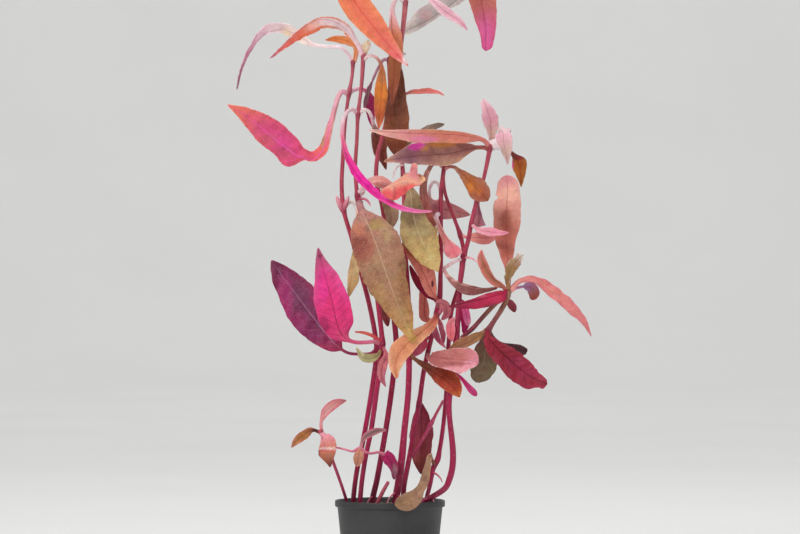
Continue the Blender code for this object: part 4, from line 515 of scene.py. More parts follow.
        lean=12, wave=0.8, veins=0.3, rib="c890b8", rib_strength=0.5, rim="b83c74", back="8c2c50",
        patches="-53 150 5 15 b02470 0.55, -45 140 4 5 a02068 0.5, -38 152 3 6 98205c 0.5"),
    "leaf_pink_left": leaf("stem_left", 128.5, 18.5, "magenta",
        "-7 -3.6 129.2, -12 -4.4 129, -17 -5 129, -21.2 -5.6 130.4, -24.6 -6.4 134.2, -26.6 -7 140, "
        "-28.4 -7.6 148, -30.8 -8 157.6, -33.4 -8.4 167.4, -35.5 -8.6 176",
        "e890a8 e87898 e05c84 e0407c ee3c80 f03c88 ee4490 d8508c b06080",
        "f0a0b4 e87c9c d8487c d83474 ea3880 f04c98 ee5498 d05c88 a86080", neck=0.26, lean=-10,
        outline="1 6.5 9 9.2 8.4 6.6 4.6 2.9 0.4, 1 6.5 8.4 8.4 8 6.8 4.8 2.2 0.4", wave=0.6, veins=0.7,
        rib="981c48", rib_strength=0.85, rim="f890b0", patches="-33 138 3.4 5 982858 0.7, "
        "-24 146 2.5 6 c82868 0.4, -34.5 172 1.3 1.3 703850 0.8, -33 158 3 9 f838a0 0.5"),
    "leaf_rust_low": leaf("stem_middle", 122.5, 13, "ochre",
        "12 -4 121, 16 -4.4 118, 21.6 -4.8 114.2, 27.6 -7.8 110.4, 32 -8.8 106.4, 34.6 -9 102",
        "80583c 84503c 8c4838 9c402c a84028 b04c2c c06838", neck=0.16, lean=-3,
        outline="1 2.5 5 6.4 6 4.5 1, 1 1.6 2.6 4 4.6 3.8 1", blunt=3, wave=0.7, veins=0.4, rib="701c14",
        rim="d8a078", rim_and_highlight_strength=0.6, patches="32 107 5 3 a83828 0.6"),
    "leaf_salmon_curled": leaf("stem_mid_right", 123.5, 13.4, "salmon",
        "19.2 -4.2 122.4, 20.8 -8.4 122.2, 25.4 -11 121.4, 31 -12.2 121, 37.5 -12.6 120.4, 43.8 -12.4 119.4",
        "a85c58 b06460 b46864 b86c68 c07470 cc7c78 e090a0", neck=0.14, lean=-8,
        outline="0.6 0.7 0.8 1 1.4 2 2.6 3.4 4 4.7 5.3 5.7 6 6.4 6.6 5.8 3, 0.6 0.8 1 1.6 2.4 3.6 4.5 5.1 "
        "5.4 5.8 6.2 6.8 7.8 8.8 4.6 3 1.4", blunt=1.5, wave=0.7, waves=2.5, other_curl="0 4 8 6 2",
        veins=0.4, rib="a05050", rim="fbe4e4", rim_and_highlight_strength=0.85,
        patches="33 115.6 10 1.8 f4a8b4 0.9, 40 118 4.4 3 f0a0b0 0.9, 33 118.8 9 0.8 8c4048 0.6"),
    "leaf_tan_low": leaf("branch_right", 135.4, 11.5, "tan",
        "45.6 -10.2 133.4, 41.6 -10 130.4, 36 -9.8 127.6, 29.2 -9.4 124.8",
        "b07858 a87850 a47450 a87454 a87050 a06448", neck=0.12,
        outline="1 1.9 1.8 1.5 1.9 1.8 2 1.5 0.5, 1 2.3 3 3.4 3.9 4 3.2 2.4 1", veins=0.4, rib="7c503c",
        rim="c8a080"),
    "leaf_crimson_right": leaf("branch_right", 135, 13.4, "crimson",
        "48.8 -12.6 131.6, 52.2 -12.8 127.4, 58 -12.8 121.6, 65 -12.4 115.6, 72 -12 110.8, 77.6 -12 108.8",
        "a02840 982038 8c2034 8c2034 942438 98283c a03048",
        "a83448 a02c40 98283c 98283c a02c44 a8304c b03c54", neck=0.06, lean=-6,
        outline="1 3.2 5.6 6.6 6.2 4.4 1.6, 1.5 5 6.4 7 7.2 6.4 2", blunt=0.8, wave=0.9, waves=5,
        ragged=0.06, bites="0.9 1 0.05 0.3", veins=0.9, rib="500818", rib_strength=0.9, rim="d07888",
        back="a83848", patches="62 119.5 6 3 a8345c 0.5, 68 114 6 3 a83058 0.5"),
    "leaf_maroon_right": leaf("branch_right", 135.5, 7, "crimson",
        "50.8 -8.6 132.4, 55 -7.4 128.8, 61 -6.8 126.4, 68.8 -6.4 124.6",
        "986058 804044 602c38 50242e 502830 4c2830 582c34", neck=0.14, lean=10,
        outline="0.6 0.3 0.4 0.8 1.6 2.2 2.4 2 0.8, 0.6 1 1.6 2 2.4 2.8 3 3 1.6", blunt=0.5, rib="381018",
        rim="c89890", back="602830"),
    "leaf_olive_low": leaf("branch_right", 135, 14, "olive",
        "48 -8 132.8, 47.6 -6 128, 47 -4.6 121, 45.4 -4 114.6, 42.6 -4 109",
        "8c5850 7c4c48 6c4840 705440 746048 786850 7c6c54", widest=0.62, fullness=0.62, lean=5, wave=0.7,
        ragged=0.06, veins=0.4, rib="a08c70", rim="a89478"),
    "leaf_maroon_low": leaf("runner", 73.6, 7, "crimson",
        "-1.4 -8 72.4, 0.4 -7.8 69.6, 1.6 -7.4 66, 2 -7 61", "b01c60 ac1c5c a02058 943058 984c68 904058",
        lean=-4, outline="2.8 3.6 3.6 3.2 3 2.6 2 1.3 0.5, 2.6 3.4 3.3 2.7 2.1 1.7 1.3 0.9 0.4", ragged=0.12,
        rib="50182c", rim="c46088", back="8c3450", patches="2.4 66 1.4 3.4 98707c 0.6"),
    "leaf_dark_red_low": leaf("stem_mid_right", 98, 12, "crimson",
        "15.2 5.2 97.4, 15.6 6.8 94, 15.6 7.4 86, 15.5 7.6 77, 15.5 7.6 69, 15.5 7.4 62",
        "98304c 943048 98384c 9c4050 a04854 a0504c 883440", neck=0.06, widest=0.5, fullness=0.8, lean=4,
        wave=0.8, rib="50101c", rim="b05c60", back="802c40", patches="17 78 2 9 a0484c 0.5"),
    "leaf_tan_hook": leaf("stem_far_right", 67, 10, "olive",
        "20.8 2.6 70.4, 20.2 -1.8 72.6, 19.9 -5.4 73, 19.8 -8.4 71.4, 19.4 -10.8 66.6, 17.6 -13.4 60, "
        "13.6 -16 54.8, 8.4 -18 51.4, 2.4 -18.4 49.4",
        "8c5044 8c5c48 906850 9c745c a07c64 a47c64 a88068 a47c60 907050",
        "986050 986850 a07860 ac8468 a48068 a07c60 a48064 9c7860 8c6c54", neck=0.3,
        outline="0.7 0.8 0.7 0.9 1.6 1.6 4.4 5.4 2, 0.7 1.6 2.2 3 3.1 2.6 3.1 4 2.2", blunt=2.5, veins=0.3,
        rib="c8a07c", rib_strength=0.4, rim="c8a480"),
}

# Small leaves, each in one piece with the stem that it grew on
SMALL_LEAVES = {
    "small_leaf_orange_top": leaf("stem_far_left", 269, 4.5, "ochre",
        "-16.6 2.6 273, -17.4 1.6 276.8, -21.4 1 279.6, -26.6 0.6 280.6, -32.4 0.4 280",
        "f4b898 f4a070 f09458 f0904c e8803c", "f8d0c8 f6b8a0 f4a880 f4a068 e88450", neck=0.3, roll="0 40",
        rib="d07040"),
    "small_leaf_cream_bud": leaf("stem_left", 272, 4.5, "olive",
        "-12.8 0.4 275.4, -11.6 0.6 277.6, -10.4 0.8 280", "e8c0a8 f0dcb8 f4e6c8 f0e0c0", fullness=0.6),
    "small_leaf_rose_low": leaf("stem_left", 127, 4.6, "crimson",
        "-1.8 -4.4 122.4, -3.6 -5.8 117.4, -4.2 -6 112.4, -2.2 -6 106.8",
        "c86470 c86c74 c87078 c46c78 b86478", "d88490 d88490 d88088 d07c88 c07080", neck=0.15, rib="903048"),
    "small_leaf_yellow_low": leaf("stem_left", 125, 4.4, "olive",
        "-6 -4.6 122.6, -9.6 -6.2 120.8, -13 -7 121.2, -16.8 -7.4 126.4",
        "a88c60 a8a070 b4ac7c c4bc8c c8c090", neck=0.12,
        outline="0.5 1.4 2 2 1.2 0.3, 0.5 1.6 2.6 2.6 1.6 0.3", rib="807448", rim="e0dcb8"),
    "small_leaf_mauve_strap": leaf("stem_mid_left", 270.4, 3.6, "mauve",
        "-2.6 3.4 270.6, -5.4 2.6 266.8, -8.2 2.2 261, -10.8 2 255, -12.4 1.9 250, -12.9 1.9 245",
        "d8b4c0 c898a8 b48494 a47484 986878", neck=0.5, roll="0 50 60", rib="6c4454"),
    "small_leaf_coral_dart": leaf("stem_middle", 252.5, 3.6, "coral",
        "9 1 253.6, 17 0.6 254.2, 23 0.4 253.8, 27 0.4 252", "e8a098 ea8c80 e87c70 e87870 e88888", neck=0.15,
        roll="30 50", lean=-10, ragged=0.15, rib="b05048"),
    "small_leaf_grey_dart": leaf("stem_middle", 226, 4.6, "grey",
        "11 1.6 229.6, 17 1.4 234, 22 1.2 237, 27.4 1 238.4", "c8a890 b89c84 a89480 9c8c7c 8c7c6c", neck=0.2,
        fullness=0.7, lean=10, ragged=0.25, rib="6c5c4c"),
    "small_leaf_tip_left": leaf("stem_middle", 336, 4.2, "coral",
        "8 -0.4 341, 6.4 -1 345, 5.6 -1.4 350", "d88890 e08c90 e89890 eca498", rib="a85058"),
    "small_leaf_tip_right": leaf("stem_middle", 336, 4.2, "pale pink",
        "9.8 2 341, 11.6 2.4 346, 12.6 2.4 351", "e0a0a8 e8b0b4 ecbcbc efc4c0", rib="b87078"),
    "small_leaf_mauve_cone": leaf("stem_right", 200.5, 7, "mauve",
        "44.2 -1.4 196.4, 44.4 -0.6 191, 44.4 -0.6 186.6", "d890a0 cc8894 c88090 cc8490 d08890",
        "c88090 a87088 a06880 a86c80 b07c88", neck=0.2, outline="0.4 0.8 1.5 2.4 3.9, 1.4 2.5 3.4 4.3 4.8",
        crumple=0.4, rib="70303c", rib_strength=0.7),
    "small_leaf_pink_level": leaf("stem_right", 187.6, 4.6, "pale pink",
        "44 -5.8 185.2, 50 -7 183.8, 55 -7.4 183.2, 59 -7.4 183.6", "f0b8c0 f0a8b4 ee98ac ec90a4", neck=0.12,
        roll="20 30", lean=-8, rib="c05c74", rim="f8d8dc"),
    "small_leaf_pale_upright": leaf("stem_right", 226, 8.8, "pale pink",
        "50.5 -3.4 232, 50.4 -3 237, 49.6 -2.8 242, 48 -2.8 246.6, 46.4 -2.8 250.4",
        "d8a0a8 c89c90 c4a090 d09ca0 d898a8 dca0b0 e4b0bc f0c8d0",
        "e0a8b0 d0a8a0 ccb0a4 d8a8ac d8a0b0 e0a8b8 ecc0c8 f4d8dc", neck=0.12, lean=6,
        outline="0.8 1.4 2.7 3.4 3.8 3.6 3 2.2 1.2, 1 2.2 3.3 4 4.2 3.8 2.8 1.9 1.3", blunt=0.8, ragged=0.12,
        crumple=0.35, veins=0.4, rib="a86c78", rim="f8e4e4"),
    "small_shoot_magenta": leaf("stem_right", 113.6, 3.4, "magenta",
        "34.2 -4.6 112.4, 38.4 -4.2 107.6, 43.4 -4 102", "c83070 d8307c e03884 e04c90 d84888", widest=0.75,
        fullness=0.6, lean=4, rib="981850"),
    "small_leaf_crimson_strap": leaf("stem_right", 149, 4, "crimson",
        "37 -5.4 146, 38.4 -4.8 141, 39 -4.2 137", "d04880 dc5890 e468a0 f0a0b8", neck=0.2, fullness=0.6,
        rib="901048", rim="e890b0"),
    "small_leaf_salmon_inner": leaf("stem_right", 140.4, 5, "salmon",
        "31.8 -6.4 140.6, 30.4 -7 138.4, 30.2 -7.2 134.6, 30.8 -7 129.4", "f0a0a8 e8808c e4707c e87c88",
        neck=0.15, fullness=0.7, rib="c85868", rim="f6b8c0"),
    "small_leaf_mauve_lobe": leaf("branch_right", 155, 6, "mauve",
        "62 -9.4 155.8, 66.4 -8.6 156.8, 70 -8.2 156.4, 71.6 -8.2 153.6, 70.4 -8.2 150",
        "e8a8b0 d898b0 b890bc a8708c a85c54 a04c44", neck=0.4, widest=0.5, fullness=0.6, lean=6,
        rib="905068", rim="e0b8c8"),
    "small_leaf_coral_slim": leaf("branch_right", 154.6, 5, "coral",
        "55.6 -11.4 157.4, 51.6 -11.8 160.6, 47.6 -12 166, 45.4 -12 171, 45.4 -12 175",
        "d87c70 a86850 a06048 a06048 a8644c c07864 e08480",
        "e08c80 d88078 d88078 d87c70 dc8078 e48884 f09494", roll="0 10", lean=-6,
        outline="0.8 2.9 3.1 3.2 3.2 3 2.5 1.9 0.6, 0.8 0.9 0.6 1.1 1.5 2 1.9 1.4 0.2", rib="a85c48",
        rim="f0a8a0"),
    "small_leaf_pink_up": leaf("plantlet", 84.6, 5, "pale pink",
        "-34.2 -8.4 89, -33 -8 92.6, -30 -7.6 96.6, -26 -7.4 99, -21.6 -7.4 100",
        "e08890 e09c98 e4a8a0 e4aca4 d89090 a05860", "e07c8c dc7484 d87084 d87084 d06878 8c3848", neck=0.25,
        lean=6, rib="c87078", rim="f08c9c", rim_and_highlight_strength=0.6),
    "small_leaf_orange_left": leaf("plantlet", 84.6, 4.6, "ochre",
        "-38.6 -8.6 85.6, -42.6 -8.8 83.2, -46.4 -9 80.2, -48.8 -9 77", "984c38 a06440 a87040 b87c44 987040",
        "b86860 b06c50 b07048 c07c60 c87878", neck=0.15, lean=-4, rib="6c2c1c", rim="f09c98",
        rim_and_highlight_strength=0.7, patches="-37.5 85 1.8 1.5 2c1414 0.9, -43 83.4 2 1 d08840 0.6"),
    "small_leaf_rose_down": leaf("plantlet", 84.2, 9.4, "salmon",
        "-33.6 -10.6 82, -32.4 -11.4 78, -31.2 -11.4 74, -29.5 -11 67.5",
        "f0a8b0 f0a0ac ec98a0 e08c80 c87c60 b06c50 8c4838 401c28", lean=-4,
        outline="2.5 5 6 6.2 5.5 4.6 3.4 2 0.2, 0.6 0.7 1.3 2.3 4 4.4 2.4 1.2 0.2", crumple=0.4,
        rib="c07078", rim="e0a090",
        patches="-30.5 76.7 6 0.7 fbdcd8 0.9, -30.5 75.5 6 0.5 d85058 0.8, -35.8 74 1.4 2.4 803048 0.8"),
    "small_leaf_rose_runner": leaf("runner", 76.5, 3.6, "pale pink",
        "-13.4 -8.8 80.6, -10 -9 83.8, -6 -9 85.4, -1.6 -9 85.8", "d89098 b07c80 806468 785c60 a07478",
        "e8a0a8 d88890 c87c88 c87c84 c88088", neck=0.2, lean=-4, rib="60444c"),
    "small_leaf_tan_runner": leaf("runner", 76.4, 5, "tan",
        "-15.2 -9.6 74.4, -15.6 -9.8 71.4, -16.4 -9.8 67.4", "d89080 c88870 c08068 c08878", fullness=0.7,
        rib="905848"),
}

# Small leaves without a solid of their own, each lying along its stem
TINY_LEAVES = {
    "tiny_leaf_pale": leaf("stem_left", 203.5, 3.4, "pale pink",
        "-13.8 -1.6 206.4, -10 -2.4 209.4, -5 -2.8 210.4, 1.6 -3 208", "f4dce0 f0b8b4 e8a098 e09488",
        neck=0.2, roll="0 20", wave=0.2),
    "tiny_leaf_strap": leaf("stem_mid_right", 142.5, 3.2, "mauve",
        "21.6 -1.6 139, 22.6 -2.6 134, 24.6 -3.2 129.6, 28 -3.4 126", "e8a0b0 d87c94 cc6480 c45c78",
        neck=0.15, roll="0 30", wave=0.3, rim="f8dce0"),
    "tiny_leaf_strap_short": leaf("stem_mid_right", 141, 2.8, "mauve",
        "25.2 0.6 137, 26.6 0.4 132, 26.6 0.2 127.4", "e898ac d07088 c05874", neck=0.15, roll="0 10",
        wave=0.2, rim="f4d0d8"),
    "tiny_leaf_maroon": leaf("branch_right", 150.5, 4, "crimson",
        "59.6 -10.2 148.6, 61 -10 146.4, 62 -10 144", "984050 84303c 702434", fullness=0.7, wave=0.3),
    "tiny_leaf_white": leaf("stem_mid_left", 270.2, 2.6, "pale pink",
        "2.4 3.6 272.6, 5.2 3.2 274, 8.2 3 273", "f0d8dc f8ecec f6e8e4", neck=0.2, wave=0.2),
    "tiny_leaf_crimson": leaf("stem_mid_right", 149, 4, "crimson",
        "22.4 -1 150.2, 19.4 -1.4 152.4, 15.8 -2 156.4, 12.4 -2.2 161.6, 9.8 -2.2 167.6",
        "8c1c40 981c44 8c1838 801838", fullness=0.7, wave=0.2, back="701430"),
    "tiny_leaf_rose_curl": leaf("stem_mid_right", 146, 4.6, "mauve",
        "24.8 -3.4 148.4, 27.8 -4.4 147, 28.4 -5 143.4, 25.6 -5.4 140", "d08890 c07078 b05c68 a85060",
        fullness=0.6, wave=0.4, rib="7c2c40", rim="e8b0b4"),
    "tiny_leaf_pink_low": leaf("stem_mid_right", 131, 7.4, "salmon",
        "18 0.8 131, 15.4 1 128.4, 12.8 1.2 125, 11 1.2 121.4", "c84c6c d85878 e0708c d06080", fullness=0.7,
        wave=0.4, rib="b03860", rim="f0a8b8"),
    "tiny_leaf_magenta_blade": leaf("stem_right", 150, 5, "magenta",
        "35.8 -2.4 148.6, 37.2 -2.4 144, 37.6 -2.2 139, 36.8 -2 133", "c01060 d01c70 c8106c a81058",
        fullness=0.6, wave=0.3, rib="f070b0"),
    "tiny_leaf_tan_behind": leaf("stem_mid_left", 200, 7.4, "olive",
        "-2.6 2.6 199.6, -0.2 3 197, 1 3 191.6, 0.2 2.8 185.6", "b09074 a88c6c b0947c a88468", fullness=0.7,
        wave=0.4, rib="c8b090"),
    "tiny_leaf_brown_behind": leaf("stem_middle", 152, 6.4, "tan",
        "1 2.6 150.4, -1.4 3 147, -2 3 142, -1 3 136.6", "a05058 984850 a05450 8c4044", fullness=0.7,
        wave=0.3, rib="70303c"),
}

# Small shoots, buds and roots without a solid of their own: the stem, the colours at both ends and the points
# of the middle line with a radius
STRANDS = {
    "orange_tip": ("stem_far_left", "e89868", "f07c38",
        "-18.2 3 270 0.6, -17.6 2.6 275 0.7, -18.6 2.2 279 0.8, -21 2 282.4 0.6, -23 1.8 283.6 0.2"),
    "bud_left": ("stem_far_left", "b04060", "e8a0b0",
        "-23.4 3.4 194.4 1.2, -24.6 3.2 197 1.5, -26 3.2 200 1.2, -26.9 3.2 202 0.4"),
    "bud_right": ("stem_far_left", "b04060", "ecacb8",
        "-23.2 3.4 195 1.1, -22.2 2.8 198 1.4, -21.2 2.6 200.6 1, -20.7 2.6 202 0.3"),
    "pink_bud": ("stem_left", "b84468", "f0a0b4",
        "-15.4 -0.6 200.6 0.7, -12.4 -1.6 200.4 0.7, -10.6 -2 198.8 0.6, -9.6 -2.2 197 0.2"),
    "upper_petiole": ("stem_left", "c83c50", "e07058",
        "-4.6 -2.4 129.6 0.85, -9 -3.8 132.4 0.9, -13 -4.6 133.8 0.8, -17.2 -5 134.2 0.4"),
    "white_petiole": ("stem_middle", "f2dce0", "f6e8ea",
        "6.4 0.6 217.4 0.5, 4 -0.4 217 0.55, 2.2 -0.8 214.4 0.55, 1.6 -1 210.6 0.3"),
    "side_petiole": ("stem_right", "e890a0", "f4c8cc",
        "37 -3.8 171 0.6, 39.6 -4.6 171.2 0.55, 42 -5 170.2 0.5, 44 -5.2 168.4 0.25"),
    "low_petiole": ("stem_far_right", "b83860", "e08898",
        "21.6 5.6 63.4 0.6, 23.6 5 62.2 0.5, 25.6 4.8 60 0.35, 26.2 4.6 58.4 0.2"),
    "root_left": ("stem_middle", "d85878", "f0a8b4",
        "3.6 -3.2 54.6 0.5, 1.4 -4 53.2 0.42, -0.6 -4.6 50.8 0.36, -1.8 -4.8 47.2 0.2"),
    "root_right": ("stem_middle", "d05070", "eca0b0",
        "3.4 -3.2 53 0.45, 5.6 -4.6 51.6 0.38, 7 -5.6 49.6 0.32, 7.6 -6 47.2 0.2"),
    "root_far_left": ("stem_mid_left", "c84870", "e898a8",
        "-8.2 1.8 52 0.45, -10 0.6 50.8 0.38, -11.2 -0.2 49 0.3, -11.8 -0.6 47.2 0.2"),
    "root_far_right": ("stem_far_right", "c84870", "e898a8",
        "18.8 5.2 52.6 0.4, 20.8 4 51 0.34, 22 3.2 49 0.28, 22.4 2.8 47.2 0.18"),
    "lump_high": ("stem_mid_right", "b84468", "e090a0",
        "23.8 -0.4 142 0.9, 25.4 -1.4 144.6 1.1, 26.8 -1.8 147.4 0.9, 27.6 -1.8 149.6 0.3"),
    "lump_low": ("stem_mid_right", "b84468", "d87888",
        "23 0 141 0.9, 24.8 -1 139.4 0.9, 26.2 -1.4 137 0.6, 26.8 -1.4 135 0.2"),
}

# Colour of the stems by height in millimetres
STEM_TINTS = (
    "36 5c1030, 50 7c1038, 62 981444, 95 a01848, 130 a01c48, 165 a42c4c, 200 ac3c54, 235 b04c5c, "
    "270 b85c6c, 320 bc686c, 340 c07074"
)
OWN_STEM_TINTS = {
    "branch_right": "130 8c3044, 140 7c3840, 148 905c48, 156 a88464",
    "plantlet": "36 801c44, 60 a82c54, 76 c04c6c, 86 c85c70",
    "side_shoot": "70 a02850, 85 a8345c, 100 b04860",
    "runner": "70 d8708c, 80 e08098",
    "stub_shoot": "36 701838, 60 b04c60",
}

# Mottling and the least roughness of each leaf tone
LEAF_TONES = {
    "pale pink": (0.35, 0.44), "coral": (0.4, 0.4), "magenta": (0.45, 0.38), "salmon": (0.4, 0.42),
    "tan": (0.8, 0.46), "olive": (0.75, 0.46), "mauve": (0.6, 0.44), "crimson": (0.65, 0.38),
    "ochre": (0.6, 0.42), "grey": (0.5, 0.48),
}


def linear(code):
    """Linear colour of a colour code."""
    parts = [int(code[i:i + 2], 16) / 255.0 for i in (0, 2, 4)]
    return np.array([p / 12.92 if p <= 0.04045 else ((p + 0.055) / 1.055) ** 2.4 for p in parts])


def blend(codes, known, wanted):
    """Colours at the wanted places, from colour codes at known places."""
    table = np.array([linear(code) for code in codes])
    return np.stack([np.interp(wanted, known, table[:, k]) for k in range(3)], axis=-1)


def ramp(codes, shares):
    """Colours at shares of the way through a few colour codes spread evenly."""
    return blend(codes, np.linspace(0.0, 1.0, len(codes)), shares)


def height_tint(text, heights):
    """Colours at heights, from a text with a height and a colour code for each stop."""
    stops = [stop.split() for stop in text.split(",")]
    return blend([code for _, code in stops], [float(height) for height, _ in stops], heights)


def seeded(name):
    """The same random numbers for a piece in every run."""
    return np.random.default_rng(zlib.crc32(name.encode()))


def wander(rng, shares, knots):
    """A smooth random curve between -1 and 1 over shares of a length."""
    values = rng.uniform(-1.0, 1.0, knots + 2)
    place = np.asarray(shares) * knots
    low = np.clip(place.astype(int), 0, knots)
    part = place - low
    part = part * part * (3.0 - 2.0 * part)
    return values[low] * (1.0 - part) + values[low + 1] * part


def smooth_step(value, low, high):
    """0 below low, 1 above high, and smooth between."""
    part = np.clip((np.asarray(value, float) - low) / (high - low), 0.0, 1.0)
    return part * part * (3.0 - 2.0 * part)


def bell(distance, reach):
    """1 at no distance, falling off smoothly to nearly 0 at twice the reach."""
    return np.exp(-((distance / reach) ** 2))


def spread_values(values, shares):
    """Values from a few that are spread evenly over shares of a length."""
    count = max(len(values), 2)
    return np.interp(shares, np.linspace(0.0, 1.0, count), np.resize(values, count))


def softened(values, times):
    """Values smoothed along their first axis, with the ends kept."""
    values = np.array(values)
    for _ in range(times):
        values[1:-1] = (values[:-2] + 2.0 * values[1:-1] + values[2:]) / 4.0
    return values


def route_lengths(points):
    """Distance along the route at each point."""
    lengths = [0.0]
    for start, end in zip(points, points[1:]):
        lengths.append(lengths[-1] + (end - start).length)
    return lengths


def slope_at(points, lengths, i):
    """Slope of the smooth curve at one of its points."""
    low, high = max(i - 1, 0), min(i + 1, len(points) - 1)
    if i in (low, high):
        return (points[high] - points[low]) / (lengths[high] - lengths[low])
    before = (points[i] - points[low]) / (lengths[i] - lengths[low])
    after = (points[high] - points[i]) / (lengths[high] - lengths[i])
    share = (lengths[i] - lengths[low]) / (lengths[high] - lengths[low])
    return before * (1.0 - share) + after * share


def place_and_direction(points, lengths, distance):
    """Place and direction at a distance along the smooth curve through the points."""
    last = len(points) - 1
    span = next((i for i in range(last) if distance <= lengths[i + 1]), last - 1)
    size = lengths[span + 1] - lengths[span]
    t = (distance - lengths[span]) / size
    start, end = points[span], points[span + 1]
    leave, arrive = slope_at(points, lengths, span) * size, slope_at(points, lengths, span + 1) * size
    place = start * (2 * t**3 - 3 * t**2 + 1) + end * (3 * t**2 - 2 * t**3)
    place += leave * (t**3 - 2 * t**2 + t) + arrive * (t**3 - t**2)
    direction = (end - start) * (6 * t - 6 * t**2)
    direction += leave * (3 * t**2 - 4 * t + 1) + arrive * (3 * t**2 - 2 * t)
    return place, direction.normalized()


def deepened(x, y, z):
    """A point of the tables at its full depth."""
    return Vector((x, y * DEPTH_SPREAD, z))


def stem_section(stem, height):
    """Middle and radius of a stem where it last passes a height."""
    points = STEMS[stem]
    for lower, upper in reversed(list(zip(points, points[1:]))):
        if min(lower[2], upper[2]) <= height <= max(lower[2], upper[2]):
            share = (height - lower[2]) / (upper[2] - lower[2])
            middle = deepened(*lower[:3]).lerp(deepened(*upper[:3]), share)
            return middle, lower[3] + (upper[3] - lower[3]) * share
    raise ValueError(f"{stem} never passes {height} mm")


def midrib(entry):
    """Midrib points of a leaf, from inside its stem to the tip."""
    centre, radius = stem_section(entry["stem"], entry["height"])
    route = [deepened(*point) for point in entry["route"]]
    outward = route[0] - centre
    outward.z = 0.0
    outward.normalize()
    points = [centre + outward * (radius * ROOT_SHARE)] + route
    lengths = route_lengths(points)
    for point, place in zip(points, lengths):
        point.y += entry["lean"] * (place / lengths[-1]) ** 2
    return points


def half_widths(entry, side, shares, length):
    """Half the leaf's width over shares of its length: a narrow petiole, then the blade."""
    narrow = (PETIOLE_WIDTH + (TIP_WIDTH - PETIOLE_WIDTH) * shares) / 2.0
    blade = np.clip((shares - entry["neck"]) / (1.0 - entry["neck"]), 0.0, 1.0)
    tip = np.clip(1.0 - (1.0 - shares) * length / max(entry["blunt"], 1e-6), 0.0, 1.0)
    tip = np.sqrt(1.0 - np.minimum(tip, 0.995) ** 2)
    if entry["outline"]:
        seen = spread_values(entry["outline"][0 if side < 0 else 1], blade)
        # A turned blade is wider than it looks from the front
        turned = np.cos(np.radians(spread_values(entry["roll"], shares)))
        return np.maximum(narrow, softened(seen / np.maximum(turned, 0.8), 5)) * tip
    bend = math.log(0.5) / math.log(entry["widest"])
    outline = np.sin(math.pi * blade**bend) ** entry["fullness"]
    outline = np.where(blade > 0.0, np.nan_to_num(outline), 0.0)
    return (narrow + (entry["width"] / 2.0 - narrow) * outline) * tip


def midrib_frames(entry):
    """Middles, sides and faces of a leaf in rows along its midrib, and each row's distance."""
    points = midrib(entry)
    lengths = route_lengths(points)
    places = np.linspace(0.0, lengths[-1], max(12, round(lengths[-1] / ROW_STEP)) + 1)
    middles, directions, facings = [], [], []
    facing = TOWARDS_VIEWER
    for place in places:
        middle, direction = place_and_direction(points, lengths, float(place))
        wanted = TOWARDS_VIEWER - direction * direction.dot(TOWARDS_VIEWER)
        if wanted.length < LEAST_FACING:
            wanted = facing - direction * direction.dot(facing)
        facing = wanted.normalized()
        middles.append(middle)
        directions.append(direction)
        facings.append(facing)
    directions = softened(directions, 2)
    directions /= np.linalg.norm(directions, axis=1, keepdims=True)
    facings = softened(facings, 8)
    facings -= directions * np.sum(facings * directions, axis=1, keepdims=True)
    facings /= np.linalg.norm(facings, axis=1, keepdims=True)
    turn = np.radians(softened(spread_values(entry["roll"], places / places[-1]), 12))[:, None]
    faces = facings * np.cos(turn) - np.cross(directions, facings) * np.sin(turn)
    return np.array(middles), np.cross(directions, faces), faces, places


def petiole_share(entry, shares):
    """1 on the petiole and 0 on the blade, smooth between."""
    return 1.0 - smooth_step(shares, entry["neck"] * 0.85, entry["neck"] + 0.07)


